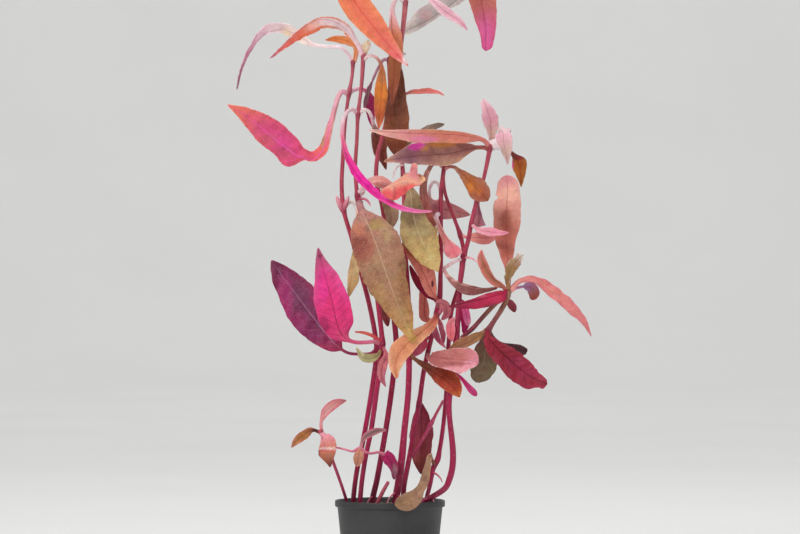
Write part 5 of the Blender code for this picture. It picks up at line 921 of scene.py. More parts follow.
def leaf_shape(name, entry, waviness):
    """Places of a leaf's vertices in rows and columns, with their place on the leaf, in millimetres."""
    rng = seeded(name)
    middles, sides, faces, places = midrib_frames(entry)
    shares = places / places[-1]
    petiole = petiole_share(entry, shares)
    blade = 1.0 - petiole
    signs = np.where(COLUMNS < 0.0, -1.0, 1.0)[None, :]
    spread = np.abs(COLUMNS)[None, :]
    # Half widths with an uneven, torn or bitten margin and a foot that widens to its stem, and their roll
    halves = []
    for side, curl in ((-1, entry["curl"]), (1, entry["other_curl"])):
        half = half_widths(entry, side, shares, places[-1])
        uneven = SLOW_UNEVENNESS * wander(rng, shares, 5) + QUICK_UNEVENNESS * wander(rng, shares, 14)
        half = half * (1.0 + uneven * blade)
        fine = wander(rng, shares, max(8, int(places[-1] / 1.6)))
        half *= 1.0 - entry["ragged"] * np.clip(fine + 0.2, 0.0, 1.0) * blade - 0.02 * fine * blade
        for place, bitten, length, depth in entry["bites"]:
            if bitten == side:
                half *= 1.0 - depth * np.exp(-(((shares - place) / length) ** 4))
        half *= 1.0 + FOOT_FLARE * bell(places, FOOT_REACH)
        rolled = np.radians(spread_values(curl, shares)) * blade - np.radians(PETIOLE_CURL) / half * petiole
        halves.append((half, np.where(np.abs(rolled) < LEAST_ROLL, LEAST_ROLL, rolled)))
    half, rolled = (np.where(signs < 0, left[:, None], right[:, None]) for left, right in zip(*halves))
    # Each half is an arc that starts at the fold's angle
    reach = spread * half
    fold = np.radians(entry["fold"]) * blade[:, None]
    out = (np.sin(fold + rolled * reach) - np.sin(fold)) / rolled
    lift = (np.cos(fold) - np.cos(fold + rolled * reach)) / rolled
    # Waves of the margin, the groove along the midrib, the ripple of the side veins and the dents
    outline = np.sqrt(np.clip(half / (entry["width"] / 2.0), 0.0, 1.0)) * blade[:, None]
    phases = rng.uniform(0.0, math.tau, 2)
    phase = np.where(signs < 0, phases[0], phases[1])
    beat = math.tau * entry["waves"] * shares[:, None] * (1.0 + 0.12 * wander(rng, shares, 4)[:, None])
    size = entry["wave"] * waviness * min(1.0, entry["width"] / FULL_WAVE_WIDTH)
    lift += size * np.sin(beat + phase) * spread**2 * outline
    lift += 0.35 * size * np.sin(2.3 * beat + 2.0 * phase) * spread**3 * outline
    groove = GROOVE_DEPTH * min(1.0, entry["width"] / FULL_GROOVE_WIDTH)
    lift -= groove * bell(reach, GROOVE_REACH) * blade[:, None]
    ripple = np.cos(math.tau * (places[:, None] - VEIN_SLANT * reach) / VEIN_SPACING)
    lift += RIPPLE_HEIGHT * ripple * outline * 4.0 * spread * (1.0 - spread) * entry["veins"]
    dents = hills(places[:, None], signs * reach, rng, DENT_SIZE, DENT_COUNT)
    lift += entry["crumple"] * waviness * dents * np.minimum(outline * 1.4, 1.0) * np.minimum(half / 3.0, 1.0)
    across = signs * out
    spots = middles[:, None, :] + sides[:, None, :] * across[..., None] + faces[:, None, :] * lift[..., None]
    along = np.broadcast_to(places[:, None], half.shape)
    return spots, np.stack([along, signs * reach, half], axis=-1), shares, petiole


def leaf_colours(entry, spots, shares, petiole):
    """Tint, midrib colour and margin colour of a leaf's vertices, the last two with their strength."""
    columns = np.abs(COLUMNS)[None, :, None]
    centre, edge = ramp(entry["centre"], shares)[:, None, :], ramp(entry["edge"], shares)[:, None, :]
    creased = smooth_step(columns, entry["crease"] - 0.12, entry["crease"] + 0.12)
    tint = centre + (edge - centre) * (creased if entry["crease"] else columns**1.4)
    for x, z, wide, high, code, strength in entry["patches"]:
        distance = np.hypot((spots[..., 0] - x) / wide, (spots[..., 2] - z) / high)
        amount = strength * (1.0 - smooth_step(distance, 0.55, 1.15))
        tint = tint + (linear(code) - tint) * amount[..., None]
    blade = (1.0 - petiole)[:, None, None]
    fading = 1.0 - 0.55 * smooth_step(shares, 0.4, 1.0)[:, None, None]
    rib_strength = entry["rib_strength"] * fading * (0.15 + 0.85 * blade)
    return [
        np.concatenate([np.broadcast_to(part, (*spots.shape[:2], part.shape[-1])) for part in pair], axis=-1)
        for pair in (
            (tint, np.ones((1, 1, 1))),
            (linear(entry["rib"])[None, None, :], rib_strength),
            # The margin colour: partly the margin's own colour and partly a painted highlight along the edge
            (linear(entry["rim"])[None, None, :], entry["rim_and_highlight_strength"] * blade),
        )
    ]


def deselect():
    """Leave nothing selected."""
    bpy.ops.object.select_all(action="DESELECT")


def grid_piece(name, spots):
    """A grid bent to rows and columns of places in millimetres, and the row and column of each vertex."""
    deselect()
    row_count, column_count = spots.shape[:2]
    bpy.ops.mesh.primitive_grid_add(
        x_subdivisions=column_count - 1, y_subdivisions=row_count - 1, size=2.0)
    piece = bpy.context.object
    piece.name = name
    piece.data.name = name
    flat = np.empty(len(piece.data.vertices) * 3)
    piece.data.vertices.foreach_get("co", flat)
    flat = flat.reshape(-1, 3)
    column = np.rint((flat[:, 0] + 1.0) / 2.0 * (column_count - 1)).astype(int)
    row = np.rint((flat[:, 1] + 1.0) / 2.0 * (row_count - 1)).astype(int)
    piece.data.vertices.foreach_set("co", (spots[row, column] * MM).ravel())
    piece.data.update()
    return piece, row, column


def close_seam(piece):
    """Merge the double vertices of a wrapped grid, and turn its faces outwards."""
    bpy.context.view_layer.objects.active = piece
    bpy.ops.object.mode_set(mode="EDIT")
    bpy.ops.mesh.select_all(action="SELECT")
    bpy.ops.mesh.remove_doubles(threshold=MERGE_DISTANCE)
    bpy.ops.mesh.normals_make_consistent(inside=False)
    bpy.ops.object.mode_set(mode="OBJECT")


def coat(piece, material):
    """Give a piece one material all over."""
    piece.data.materials.clear()
    piece.data.materials.append(material)


def select_only(piece):
    """Select a piece alone and make it the active one."""
    deselect()
    piece.select_set(True)
    bpy.context.view_layer.objects.active = piece


def apply(piece, kind, **settings):
    """Add a modifier with these settings and apply it."""
    bpy.context.view_layer.objects.active = piece
    modifier = piece.modifiers.new(kind.title(), kind)
    for key, value in settings.items():
        setattr(modifier, key, value)
    bpy.ops.object.modifier_apply(modifier=modifier.name)


def write_attribute(mesh, name, kind, values):
    """Store a value for each vertex."""
    field = "color" if kind == "FLOAT_COLOR" else "vector"
    layer = mesh.attributes.new(name, kind, "POINT")
    layer.data.foreach_set(field, np.ascontiguousarray(values, dtype=np.float32).ravel())


def write_looks(mesh, tint, rib, rim, place, veins):
    """Store the colours, the place on the leaf or stem and the strength of the side veins."""
    for name, values in (("tint", tint), ("rib", rib), ("rim", rim)):
        write_attribute(mesh, name, "FLOAT_COLOR", values)
    write_attribute(mesh, "place", "FLOAT_VECTOR", place)
    write_attribute(mesh, "veins", "FLOAT_VECTOR", np.full((len(mesh.vertices), 3), veins))


def make_leaf(name, entry, settings, materials):
    """One leaf: a grid bent along its midrib, given a thickness, with its colours stored on it."""
    spots, place, shares, petiole = leaf_shape(name, entry, settings.waviness)
    colours = leaf_colours(entry, spots, shares, petiole)
    piece, row, column = grid_piece(name, spots)
    thick = settings.petiole_thickness
    blade = settings.blade_thickness / thick
    vein = RIB_THICKENING * bell(np.abs(place[row, column, 1]), RIB_REACH) * (1.0 - shares[row])
    weights = np.clip(blade + vein + (1.0 - blade) * petiole[row], 0.05, 1.0)
    group = piece.vertex_groups.new(name="thickness")
    for index, weight in enumerate(weights):
        group.add([index], float(weight), "REPLACE")
    count = len(piece.data.vertices)
    apply(piece, "SOLIDIFY", thickness=thick, offset=0.0, vertex_group="thickness", use_rim=True)
    piece.vertex_groups.clear()
    if len(piece.data.vertices) != 2 * count:
        raise RuntimeError(f"{name} didn't get its second side")
    tint, *others = (part[row, column] for part in (*colours, place))
    under = tint.copy()
    toned = UNDERSIDE_SHARE * (1.0 - petiole[row, None])
    under[:, :3] = under[:, :3] * (1.0 - toned) + linear(entry["back"]) * toned
    pairs = [np.vstack([tint, under])] + [np.vstack([part, part]) for part in others]
    write_looks(piece.data, *pairs, entry["veins"])
    coat(piece, materials[entry["tone"]])
    bpy.ops.object.shade_smooth()
    return piece


def tube_shape(points, lengths, radii, step, sides, ridge, phase):
    """Rows of places round a tube along a smooth curve with rounded ends, each row's distance and radius."""
    total = lengths[-1]
    inner = np.linspace(0.0, total, max(4, round(total / step)) + 1)
    tube_radii = softened(np.interp(inner, lengths, radii), 3)
    start_cap = CAP_RINGS * tube_radii[0] * CAP_LENGTH
    end_cap = CAP_RINGS[::-1] * tube_radii[-1] * CAP_LENGTH
    places = np.concatenate([-start_cap, inner, total + end_cap])
    ends = np.sqrt(1.0 - CAP_RINGS**2)
    ring_radii = np.concatenate([ends * tube_radii[0], tube_radii, ends[::-1] * tube_radii[-1]])
    angles = np.linspace(0.0, math.tau, sides + 1)
    rings, normal = [], None
    for place, radius in zip(places, ring_radii):
        inside = float(np.clip(place, 0.0, total))
        middle, direction = place_and_direction(points, lengths, inside)
        middle = middle + direction * (float(place) - inside)
        if normal is None:
            normal = direction.orthogonal().normalized()
        normal = (normal - direction * direction.dot(normal)).normalized()
        other = direction.cross(normal)
        wave = 1.0 + ridge * np.cos(5.0 * angles + phase) + 0.4 * ridge * np.cos(3.0 * angles + 0.02 * place)
        ring = [middle + (normal * math.cos(a) + other * math.sin(a)) * float(radius * w)
                for a, w in zip(angles, wave)]
        ring[-1] = ring[0]
        rings.append(ring)
    return np.array(rings), places, ring_radii


def make_tube(name, points, lengths, radii, step, sides, ridge, tints, material):
    """A closed tube from a wrapped grid, with tints(places, heights) as its colours."""
    phase = seeded(name).uniform(0.0, math.tau)
    spots, places, ring_radii = tube_shape(points, lengths, radii, step, sides, ridge, phase)
    piece, row, column = grid_piece(name, spots)
    colour, mark = tints(places, spots[:, :, 2].mean(axis=1))
    count = len(row)
    tint = np.concatenate([colour[row], np.ones((count, 1))], axis=1)
    rib = np.concatenate([np.zeros((count, 3)), mark[row][:, None]], axis=1)
    place = np.stack([places[row], column * 1.0, ring_radii[row]], axis=1)
    write_looks(piece.data, tint, rib, np.zeros((count, 4)), place, 0.0)
    close_seam(piece)
    coat(piece, material)
    bpy.ops.object.shade_smooth()
    return piece


def node_heights(stem):
    """Heights at which leaves grow from a stem, each once."""
    found = []
    for entry in [*LEAVES.values(), *SMALL_LEAVES.values()]:
        if entry["stem"] == stem and all(abs(entry["height"] - other) > 3.0 for other in found):
            found.append(entry["height"])
    return found


def compact_swellings(lengths, radii):
    """The radius at each point without its swelling, and the distance and height of each swelling."""
    base, swellings = list(radii), []
    for i in range(1, len(radii) - 1):
        if radii[i] > max(radii[i - 1], radii[i + 1]) + 0.1:
            base[i] = (radii[i - 1] + radii[i + 1]) / 2.0
            swellings.append((lengths[i], radii[i] - base[i]))
    return base, swellings


def make_stem(name, settings, material):
    """A stem as a ridged tube, thinner higher up, with a compact swelling and a collar at each node."""
    points = [deepened(*point[:3]) for point in STEMS[name]]
    lengths = route_lengths(points)
    radii, swellings = compact_swellings(lengths, [point[3] for point in STEMS[name]])
    nodes = np.array(node_heights(name))
    fine_points, fine_radii = [points[0]], [radii[0]]
    for i in range(len(points) - 1):
        parts = max(1, round((lengths[i + 1] - lengths[i]) / STEM_STEP))
        for part in range(1, parts + 1):
            share = part / parts
            distance = lengths[i] + (lengths[i + 1] - lengths[i]) * share
            middle, _ = place_and_direction(points, lengths, distance)
            radius = radii[i] + (radii[i + 1] - radii[i]) * share * share * (3.0 - 2.0 * share)
            radius *= 1.0 - TOP_THINNING * smooth_step(middle.z, THINNING_FROM, THINNING_TO)
            radius += sum(swelling * bell(distance - place, SWELLING_REACH) for place, swelling in swellings)
            collar = bell(middle.z - nodes, COLLAR_REACH).max(initial=0.0)
            crease = bell(middle.z - nodes + CREASE_BELOW, CREASE_REACH).max(initial=0.0)
            fine_points.append(middle)
            fine_radii.append(radius + settings.collar / MM * collar - CREASE_DEPTH * crease)

    def tints(_, heights):
        mark = np.zeros(len(heights))
        for z in nodes:
            mark = np.maximum(mark, bell(heights - z + NODE_BAND_BELOW, NODE_BAND))
        share = NODE_TINT_SHARE * mark[:, None]
        colour = height_tint(OWN_STEM_TINTS.get(name, STEM_TINTS), heights)
        return colour * (1.0 - share) + linear(NODE_TINT) * share, mark

    return make_tube(name, fine_points, route_lengths(fine_points), fine_radii, STEM_STEP, STEM_SIDES,
                     settings.ridge_depth, tints, material)


def make_strand(name, material):
    """A small shoot, bud or root, which joins its stem."""
    _, start, end, text = STRANDS[name]
    table = rows(text)
    points = [deepened(*point[:3]) for point in table]
    lengths = route_lengths(points)

    def tints(places, _):
        return ramp((start, end), np.clip(places / lengths[-1], 0.0, 1.0)), np.zeros(len(places))

    return make_tube(name, points, lengths, [point[3] for point in table], STRAND_STEP, STRAND_SIDES,
                     STRAND_RIDGE, tints, material)


def join_to(piece, others):
    """Make the others one object with a piece."""
    select_only(piece)
    for other in others:
        other.select_set(True)
    bpy.ops.object.join()


def declare(piece, node, slot):
    """Put a piece under the root body and hide the solid that it stands for; slot, its finish, is not used.
    """
    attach(piece, "root")
    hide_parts(node)


def lathe(name, profile, segments):
    """A closed turned mesh from radius and height pairs that start and end on the axis, in millimetres."""
    angles = np.linspace(0.0, math.tau, segments + 1)
    radii, heights = np.array(profile, float).T
    spots = np.stack([
        radii[:, None] * np.cos(angles)[None, :],
        radii[:, None] * np.sin(angles)[None, :],
        np.broadcast_to(heights[:, None], (len(profile), segments + 1)),
    ], axis=-1)
    spots[:, -1] = spots[:, 0]
    piece, _, _ = grid_piece(name, spots)
    close_seam(piece)
    return piece


def rounded(corners, radius, steps):
    """A profile with each inner corner rounded by a quadratic bend."""
    done = [corners[0]]
    for before, corner, after in zip(corners, corners[1:], corners[2:]):
        before, corner, after = (np.array(point, float) for point in (before, corner, after))
        back, ahead = before - corner, after - corner
        reach = min(radius, np.linalg.norm(back) * 0.45, np.linalg.norm(ahead) * 0.45)
        start = corner + back / np.linalg.norm(back) * reach
        end = corner + ahead / np.linalg.norm(ahead) * reach
        for t in np.linspace(0.0, 1.0, steps):
            done.append(tuple((1 - t) ** 2 * start + 2 * t * (1 - t) * corner + t**2 * end))
    done.append(corners[-1])
    return done


def pot_radius(height):
    """Outer radius of the pot's tapered wall at a height."""
    return POT_BASE_RADIUS + (POT_MOUTH_RADIUS - POT_BASE_RADIUS) * height / (POT_HEIGHT - RIM_DEPTH)


def make_pot(material):
    """The plain tapered pot, with a rolled rim and a slightly raised middle under its base."""
    rim_base = POT_HEIGHT - RIM_DEPTH
    mouth = POT_MOUTH_RADIUS - POT_WALL
    corners = (
        (0.0, POT_FLOOR),
        (pot_radius(POT_FLOOR) - POT_WALL, POT_FLOOR),
        (mouth, rim_base),
        (mouth + 1.0, POT_HEIGHT),
        (RIM_RADIUS, POT_HEIGHT),
        (RIM_RADIUS, rim_base),
        (POT_MOUTH_RADIUS, rim_base),
        (POT_BASE_RADIUS, 0.0),
        (POT_BASE_RADIUS - FOOT_WIDTH, 0.0),
        (POT_BASE_RADIUS - FOOT_WIDTH - 1.0, BASE_RISE),
        (0.0, BASE_RISE),
    )
    piece = lathe("pot_shell", rounded(corners, CORNER_RADIUS, CORNER_STEPS), POT_SEGMENTS)
    coat(piece, material)
    select_only(piece)
    bpy.ops.object.shade_smooth_by_angle(angle=math.radians(SHARP_ANGLE))
    return piece


def hills(x, y, rng, size, count):
    """A smooth uneven height field."""
    total = np.zeros(np.broadcast(x, y).shape)
    for _ in range(count):
        angle, phase = rng.uniform(0.0, math.tau, 2)
        beat = rng.uniform(0.6, 2.2) / size
        total += np.sin(beat * (x * math.cos(angle) + y * math.sin(angle)) * math.tau + phase)
    return total / math.sqrt(count)


def make_plug(settings, material):
    """The growing plug: a block of wool with an uneven top and loose fibres."""
    rng = seeded("growing_plug")
    low = POT_FLOOR + FIT_GAP
    clearance = POT_WALL + FIT_GAP
    top = pot_radius(PLUG_TOP) - clearance - FIT_GAP
    profile = [(0.0, low), (pot_radius(low) - clearance - 0.6, low), (pot_radius(low) - clearance, low + 0.6)]
    profile += [(pot_radius(h) - clearance, h) for h in np.linspace(8.0, PLUG_TOP - 2.0, 12)]
    profile += [(top - 0.2, PLUG_TOP - 0.9), (top - 0.7, PLUG_TOP - 0.3)]
    profile += [(radius, PLUG_TOP) for radius in np.linspace(top - 1.3, 0.0, 42)]
    piece = lathe("growing_plug_wool", profile, PLUG_SEGMENTS)
    mesh = piece.data
    flat = np.empty(len(mesh.vertices) * 3)
    mesh.vertices.foreach_get("co", flat)
    spots = flat.reshape(-1, 3) / MM
    lying = smooth_step(spots[:, 2], PLUG_TOP - 1.2, PLUG_TOP - 0.2)
    bumps = hills(spots[:, 0], spots[:, 1], rng, 9.0, 9) * 0.55
    bumps += hills(spots[:, 0], spots[:, 1], rng, 2.6, 11) * 0.3
    spots[:, 2] += lying * (bumps - 0.5)
    mesh.vertices.foreach_set("co", (spots * MM).ravel())
    mesh.update()
    curve = bpy.data.curves.new("wool_fibres", "CURVE")
    curve.dimensions = "3D"
    curve.bevel_depth = settings.fibre_radius
    curve.bevel_resolution = 0
    for _ in range(settings.fibre_count):
        radius, angle = (top - 1.5) * math.sqrt(rng.uniform(0.0, 1.0)), rng.uniform(0.0, math.tau)
        heading, bend = rng.uniform(0.0, math.tau), rng.uniform(-0.7, 0.7)
        x, y = radius * math.cos(angle), radius * math.sin(angle)
        rise = rng.uniform(0.4, 1.6)
        spline = curve.splines.new("POLY")
        spline.points.add(FIBRE_STEPS)
        for i, point in enumerate(spline.points):
            share = i / FIBRE_STEPS
            z = PLUG_TOP - 0.7 + rise * math.sin(math.pi * share) + 0.25 * math.sin(5.0 * share + angle)
            point.co = (x * MM, y * MM, z * MM, 1.0)
            heading += bend / 2.0
            x += FIBRE_STEP * math.cos(heading)
            y += FIBRE_STEP * math.sin(heading)
            if math.hypot(x, y) > top - 0.6:
                heading += math.pi / 2.0
    fibres = bpy.data.objects.new("wool_fibres", curve)
    bpy.context.scene.collection.objects.link(fibres)
    select_only(fibres)
    bpy.ops.object.convert(target="MESH")
    fibres = bpy.context.object
    coat(fibres, material)
    coat(piece, material)
    join_to(piece, [fibres])
    bpy.ops.object.shade_smooth()
    return piece


class Output:
    """An output of a node, ready for sums with numbers and other outputs."""

    def __init__(self, tree, socket):
        self.tree = tree
        self.socket = socket

    def combine(self, operation, other, reflected=False):
        """The sum, product or the like of this output and another, by a node for its kind."""
        first, second = (other, self) if reflected else (self, other)
        if self.socket.type == "RGBA":
            settings = {"data_type": "RGBA", "blend_type": operation}
            return self.tree.make("ShaderNodeMix", settings, {0: 1.0, 6: first, 7: second}, 2)
        kind = "ShaderNodeVectorMath" if self.socket.type == "VECTOR" else "ShaderNodeMath"
        return self.tree.make(kind, {"operation": operation}, {0: first, 1: second})

    def __add__(self, other):
        return self.combine("ADD", other)

    def __radd__(self, other):
        return self.combine("ADD", other, True)

    def __sub__(self, other):
        return self.combine("SUBTRACT", other)

    def __rsub__(self, other):
        return self.combine("SUBTRACT", other, True)

    def __mul__(self, other):
        return self.combine("MULTIPLY", other)

    def __rmul__(self, other):
        return self.combine("MULTIPLY", other, True)

    def __truediv__(self, other):
        return self.combine("DIVIDE", other)

    def __rtruediv__(self, other):
        return self.combine("DIVIDE", other, True)

    def maths(self, operation):
        """A Math node of this output alone."""
        return self.tree.make("ShaderNodeMath", {"operation": operation}, {0: self})

    def step(self, low, high):
        """0 below low, 1 above high, and smooth between."""
        return self.tree.make(
            "ShaderNodeMapRange", {"interpolation_type": "SMOOTHSTEP"},
            {"Value": self, "From Min": low, "From Max": high, "To Min": 0.0, "To Max": 1.0})


class MaterialTree:
    """A new material whose nodes are made one by one."""

    def __init__(self, name):
        self.material = bpy.data.materials.new(name)
        self.material.use_nodes = True
        self.nodes = self.material.node_tree.nodes
        self.nodes.clear()

    def fill(self, socket, value):
        """Link an output to a socket, or set its number."""
        if isinstance(value, Output):
            self.material.node_tree.links.new(value.socket, socket)
        elif socket.type == "RGBA" and isinstance(value, (int, float)):
            socket.default_value = (value, value, value, 1.0)
        elif socket.type == "RGBA" and len(value) == 3:
            socket.default_value = (*value, 1.0)
        else:
            socket.default_value = value

    def make(self, kind, settings, inputs, output=0):
        """A node of any type, its settings first and then its sockets, and one of its outputs."""
        node = self.nodes.new(kind)
        for key, value in settings.items():
            setattr(node, key, value)
        for key, value in inputs.items():
            self.fill(node.inputs[key], value)
        return Output(self, node.outputs[output]) if node.outputs else None

    def mix(self, factor, first, second):
        """The first colour turned into the second by a factor."""
        return self.make("ShaderNodeMix", {"data_type": "RGBA"}, {0: factor, 6: first, 7: second}, 2)

    def stored(self, name, output):
        """An attribute of the mesh."""
        return self.make("ShaderNodeAttribute", {"attribute_name": name}, {}, output)

    def parts(self, vector):
        """The three numbers of a vector."""
        first = self.make("ShaderNodeSeparateXYZ", {}, {0: vector})
        return [Output(self, socket) for socket in first.socket.node.outputs]

    def millimetres(self):
        """The place on the object in millimetres."""
        place = self.make("ShaderNodeTexCoord", {}, {}, "Object")
        return place * (1000.0, 1000.0, 1000.0)

    def noise(self, place, scale, detail=3.0, roughness=0.5, output="Fac"):
        """Soft noise about 0.5, whose Color output differs in red, green and blue."""
        inputs = {"Vector": place, "Scale": scale, "Detail": detail, "Roughness": roughness}
        return self.make("ShaderNodeTexNoise", {}, inputs, output)

    def cells(self, place, scale, feature="DISTANCE_TO_EDGE"):
        """Distance to the nearest cell edge or point."""
        return self.make(
            "ShaderNodeTexVoronoi", {"feature": feature}, {"Vector": place, "Scale": scale}, "Distance")

    def finish(self, bump, distance, colour, roughness, **constants):
        """The surface shader, with a bump height and the numbers that are the same all over."""
        normal = self.make(
            "ShaderNodeBump", {}, {"Strength": 1.0, "Distance": distance, "Height": bump})
        shader = self.make(
            "ShaderNodeBsdfPrincipled", {}, {"Base Color": colour, "Roughness": roughness, "Normal": normal})
        node = shader.socket.node
        for key, value in constants.items():
            node.inputs[key.replace("_", " ")].default_value = value
        self.make("ShaderNodeOutputMaterial", {}, {"Surface": shader})
        return self.material


def leaf_material(name, settings, mottle, gloss):
    """Leaf tissue: the stored tint with clouds, flecks, side veins, a midrib and a margin."""
    tree = MaterialTree(name)
    along, across, half = tree.parts(tree.stored("place", "Vector"))
    veined = tree.stored("veins", "Fac")
    tint = tree.stored("tint", "Color")
    rib, rib_strength = tree.stored("rib", "Color"), tree.stored("rib", "Alpha")
    rim, rim_and_highlight_strength = tree.stored("rim", "Color"), tree.stored("rim", "Alpha")
    spot = tree.millimetres()
    cloud = tree.noise(spot, 0.16, 4.0, 0.6)
    blotch = tree.noise(spot + (11.0, 23.0, 7.0), 0.45, 4.0, 0.65)
    fleck = tree.noise(spot + (41.0, 17.0, 5.0), 1.3, 3.0, 0.6)
    grain = tree.noise(spot, 3.2, 2.0)
    hue = tree.noise(spot + (3.0, 5.0, 60.0), 0.26, 4.0, 0.6, "Color")
    reach = across.maths("ABSOLUTE")
    side = across.maths("SIGN")
    slant = along - reach * VEIN_SLANT + reach * reach * 0.012 + cloud * 3.4 + side * (VEIN_SPACING * 0.25)
    beat = (slant / VEIN_SPACING).maths("FRACT")
    from_vein = (beat - 0.5).maths("ABSOLUTE") * VEIN_SPACING
    fade = reach.step(0.1, 0.9) * (1.0 - (reach / half).step(0.6, 0.95)) * blotch.step(0.36, 0.6)
    vein = (1.0 - from_vein.step(0.04, 0.4)) * fade
    middle = 1.0 - reach.step(0.1, 0.42)
    # The band along the margin takes the rim colour, which is partly the margin's own colour and partly a
    # painted highlight
    inset = half - reach + (fleck - 0.5) * 0.8
    margin = (1.0 - inset.step(0.05, 0.42)) * blotch.step(0.4, 0.62)
    mesh = 1.0 - tree.cells(spot + fleck * 0.6, 0.75).step(0.0, 0.12)
    colour = tint * (hue * (mottle * 0.5) + (1.0 - mottle * 0.25))
    colour = tree.mix(cloud.step(0.45, 0.72) * mottle, colour, colour * (0.68, 0.56, 0.6))
    colour = tree.mix(blotch.step(0.5, 0.7) * (mottle * 0.9), colour, colour * (1.22, 1.28, 1.26))
    colour = tree.mix((1.0 - blotch.step(0.32, 0.46)) * (mottle * 0.9), colour, colour * (0.7, 0.58, 0.62))
    colour = tree.mix(fleck.step(0.55, 0.72) * 0.4, colour, colour * (1.28, 1.36, 1.36))
    colour = tree.mix((1.0 - fleck.step(0.3, 0.45)) * 0.4, colour, colour * (0.72, 0.62, 0.66))
    colour = tree.mix(mesh * 0.14, colour, rib)
    colour = tree.mix(vein * rib_strength * veined * settings.vein_strength, colour, rib)
    colour = tree.mix(middle * rib_strength, colour, rib)
    colour = tree.mix(margin * rim_and_highlight_strength, colour, rim)
    colour = colour * (grain * 0.3 + 0.85)
    roughness = gloss + grain * 0.14 + cloud * 0.1 - middle * 0.06
    relief = vein * veined * -1.2 - middle * 0.8 + mesh * -0.2 + fleck * 0.5 + blotch * 0.5
    return tree.finish(
        relief, 0.00012, colour, roughness, Subsurface_Weight=0.1, Subsurface_Scale=0.001,
        Specular_IOR_Level=0.22)


def stem_material():
    """Stem skin: the stored tint with long streaks, pale flecks and darker nodes."""
    tree = MaterialTree("red stem skin")
    tint = tree.stored("tint", "Color")
    node_mark = tree.stored("rib", "Alpha")
    spot = tree.millimetres()
    streak = tree.noise(spot * (2.6, 2.6, 0.16), 1.0, 3.0, 0.55)
    fine = tree.noise(spot * (6.0, 6.0, 0.9), 1.0, 2.0)
    cloud = tree.noise(spot, 0.09, 3.0)
    dot = 1.0 - tree.cells(spot * (1.0, 1.0, 0.55), 0.62, "F1").step(0.1, 0.24)
    colour = tree.mix(streak.step(0.4, 0.7) * 0.6, tint, tint * (1.6, 1.9, 1.7))
    colour = tree.mix((1.0 - streak.step(0.3, 0.48)) * 0.6, colour, colour * (0.5, 0.3, 0.42))
    colour = tree.mix(cloud.step(0.48, 0.7) * 0.45, colour, colour * (0.68, 0.5, 0.56))
    colour = tree.mix(dot * 0.3, colour, (0.75, 0.28, 0.32))
    colour = tree.mix(node_mark * fine.step(0.35, 0.65) * 0.4, colour, (0.12, 0.01, 0.03))
    roughness = 0.3 + fine * 0.2 + node_mark * 0.12
    relief = streak * 1.0 + fine * 0.35 + dot * 0.4
    return tree.finish(
        relief, 0.00016, colour, roughness, Subsurface_Weight=0.08, Subsurface_Scale=0.0012,
        Specular_IOR_Level=0.38)


def pot_material(settings):
    """Dark moulded plastic with a fine grain, faint scuffs and faint cloudy dust."""
    tree = MaterialTree("dark pot plastic")
    spot = tree.millimetres()
    grain = tree.noise(spot, 1.6, 4.0, 0.65)
    cloud = tree.noise(spot, 0.05, 3.0)
    scuff = tree.noise(spot * (0.25, 0.25, 3.0), 1.0, 3.0, 0.6).step(0.6, 0.78)
    colour = tree.mix(cloud.step(0.35, 0.7) * 0.6, tuple(settings.colour), (0.055, 0.054, 0.056))
    colour = tree.mix(scuff * 0.3, colour, (0.12, 0.118, 0.115))
    roughness = 0.4 + grain * 0.14 + scuff * 0.14 + cloud * 0.08
    return tree.finish(grain * 1.0 + scuff * -0.5, 0.00006, colour, roughness, Specular_IOR_Level=0.5)


def wool_material(settings):
    """Mineral wool: matted fibres in brown and grey with cloudy darker patches."""
    tree = MaterialTree("mineral wool")
    spot = tree.millimetres()
    mat_one = tree.noise(spot * (0.5, 3.2, 2.0), 1.0, 4.0, 0.65)
    mat_two = tree.noise(spot * (3.0, 0.6, 2.0), 1.0, 4.0, 0.65)
    cloud = tree.noise(spot, 0.14, 4.0, 0.6)
    colour = tree.mix(mat_one.step(0.35, 0.68), tuple(settings.wool_colour), (0.36, 0.29, 0.2))
    colour = tree.mix(mat_two.step(0.5, 0.72) * 0.6, colour, (0.45, 0.39, 0.3))
    colour = tree.mix(cloud.step(0.45, 0.72) * 0.7, colour, colour * (0.42, 0.36, 0.32))
    roughness = 0.85 + mat_one * 0.1
    return tree.finish(mat_one + mat_two + cloud * 0.5, 0.0006, colour, roughness, Specular_IOR_Level=0.2)


def floor_material(settings):
    """A pale matt floor with a faint uneven tone."""
    tree = MaterialTree("pale studio floor")
    spot = tree.millimetres()
    cloud = tree.noise(spot, 0.004, 3.0)
    grain = tree.noise(spot, 0.8, 2.0)
    tone = tuple(settings.floor_colour)
    colour = tree.mix(cloud.step(0.35, 0.7) * 0.5, tone, tuple(part * 0.96 for part in tone))
    return tree.finish(grain, 0.00005, colour, 0.62 + grain * 0.1, Specular_IOR_Level=0.3)


def add_light(name, place, aim, size, power, colour):
    """A soft square lamp that points at a place."""
    lamp = bpy.data.lights.new(name, "AREA")
    lamp.shape = "SQUARE"
    lamp.size = size
    lamp.energy = power
    lamp.color = colour
    lamp_object = bpy.data.objects.new(name, lamp)
    lamp_object.location = place
    lamp_object.rotation_euler = (Vector(aim) - Vector(place)).to_track_quat("-Z", "Y").to_euler()
    bpy.context.scene.collection.objects.link(lamp_object)


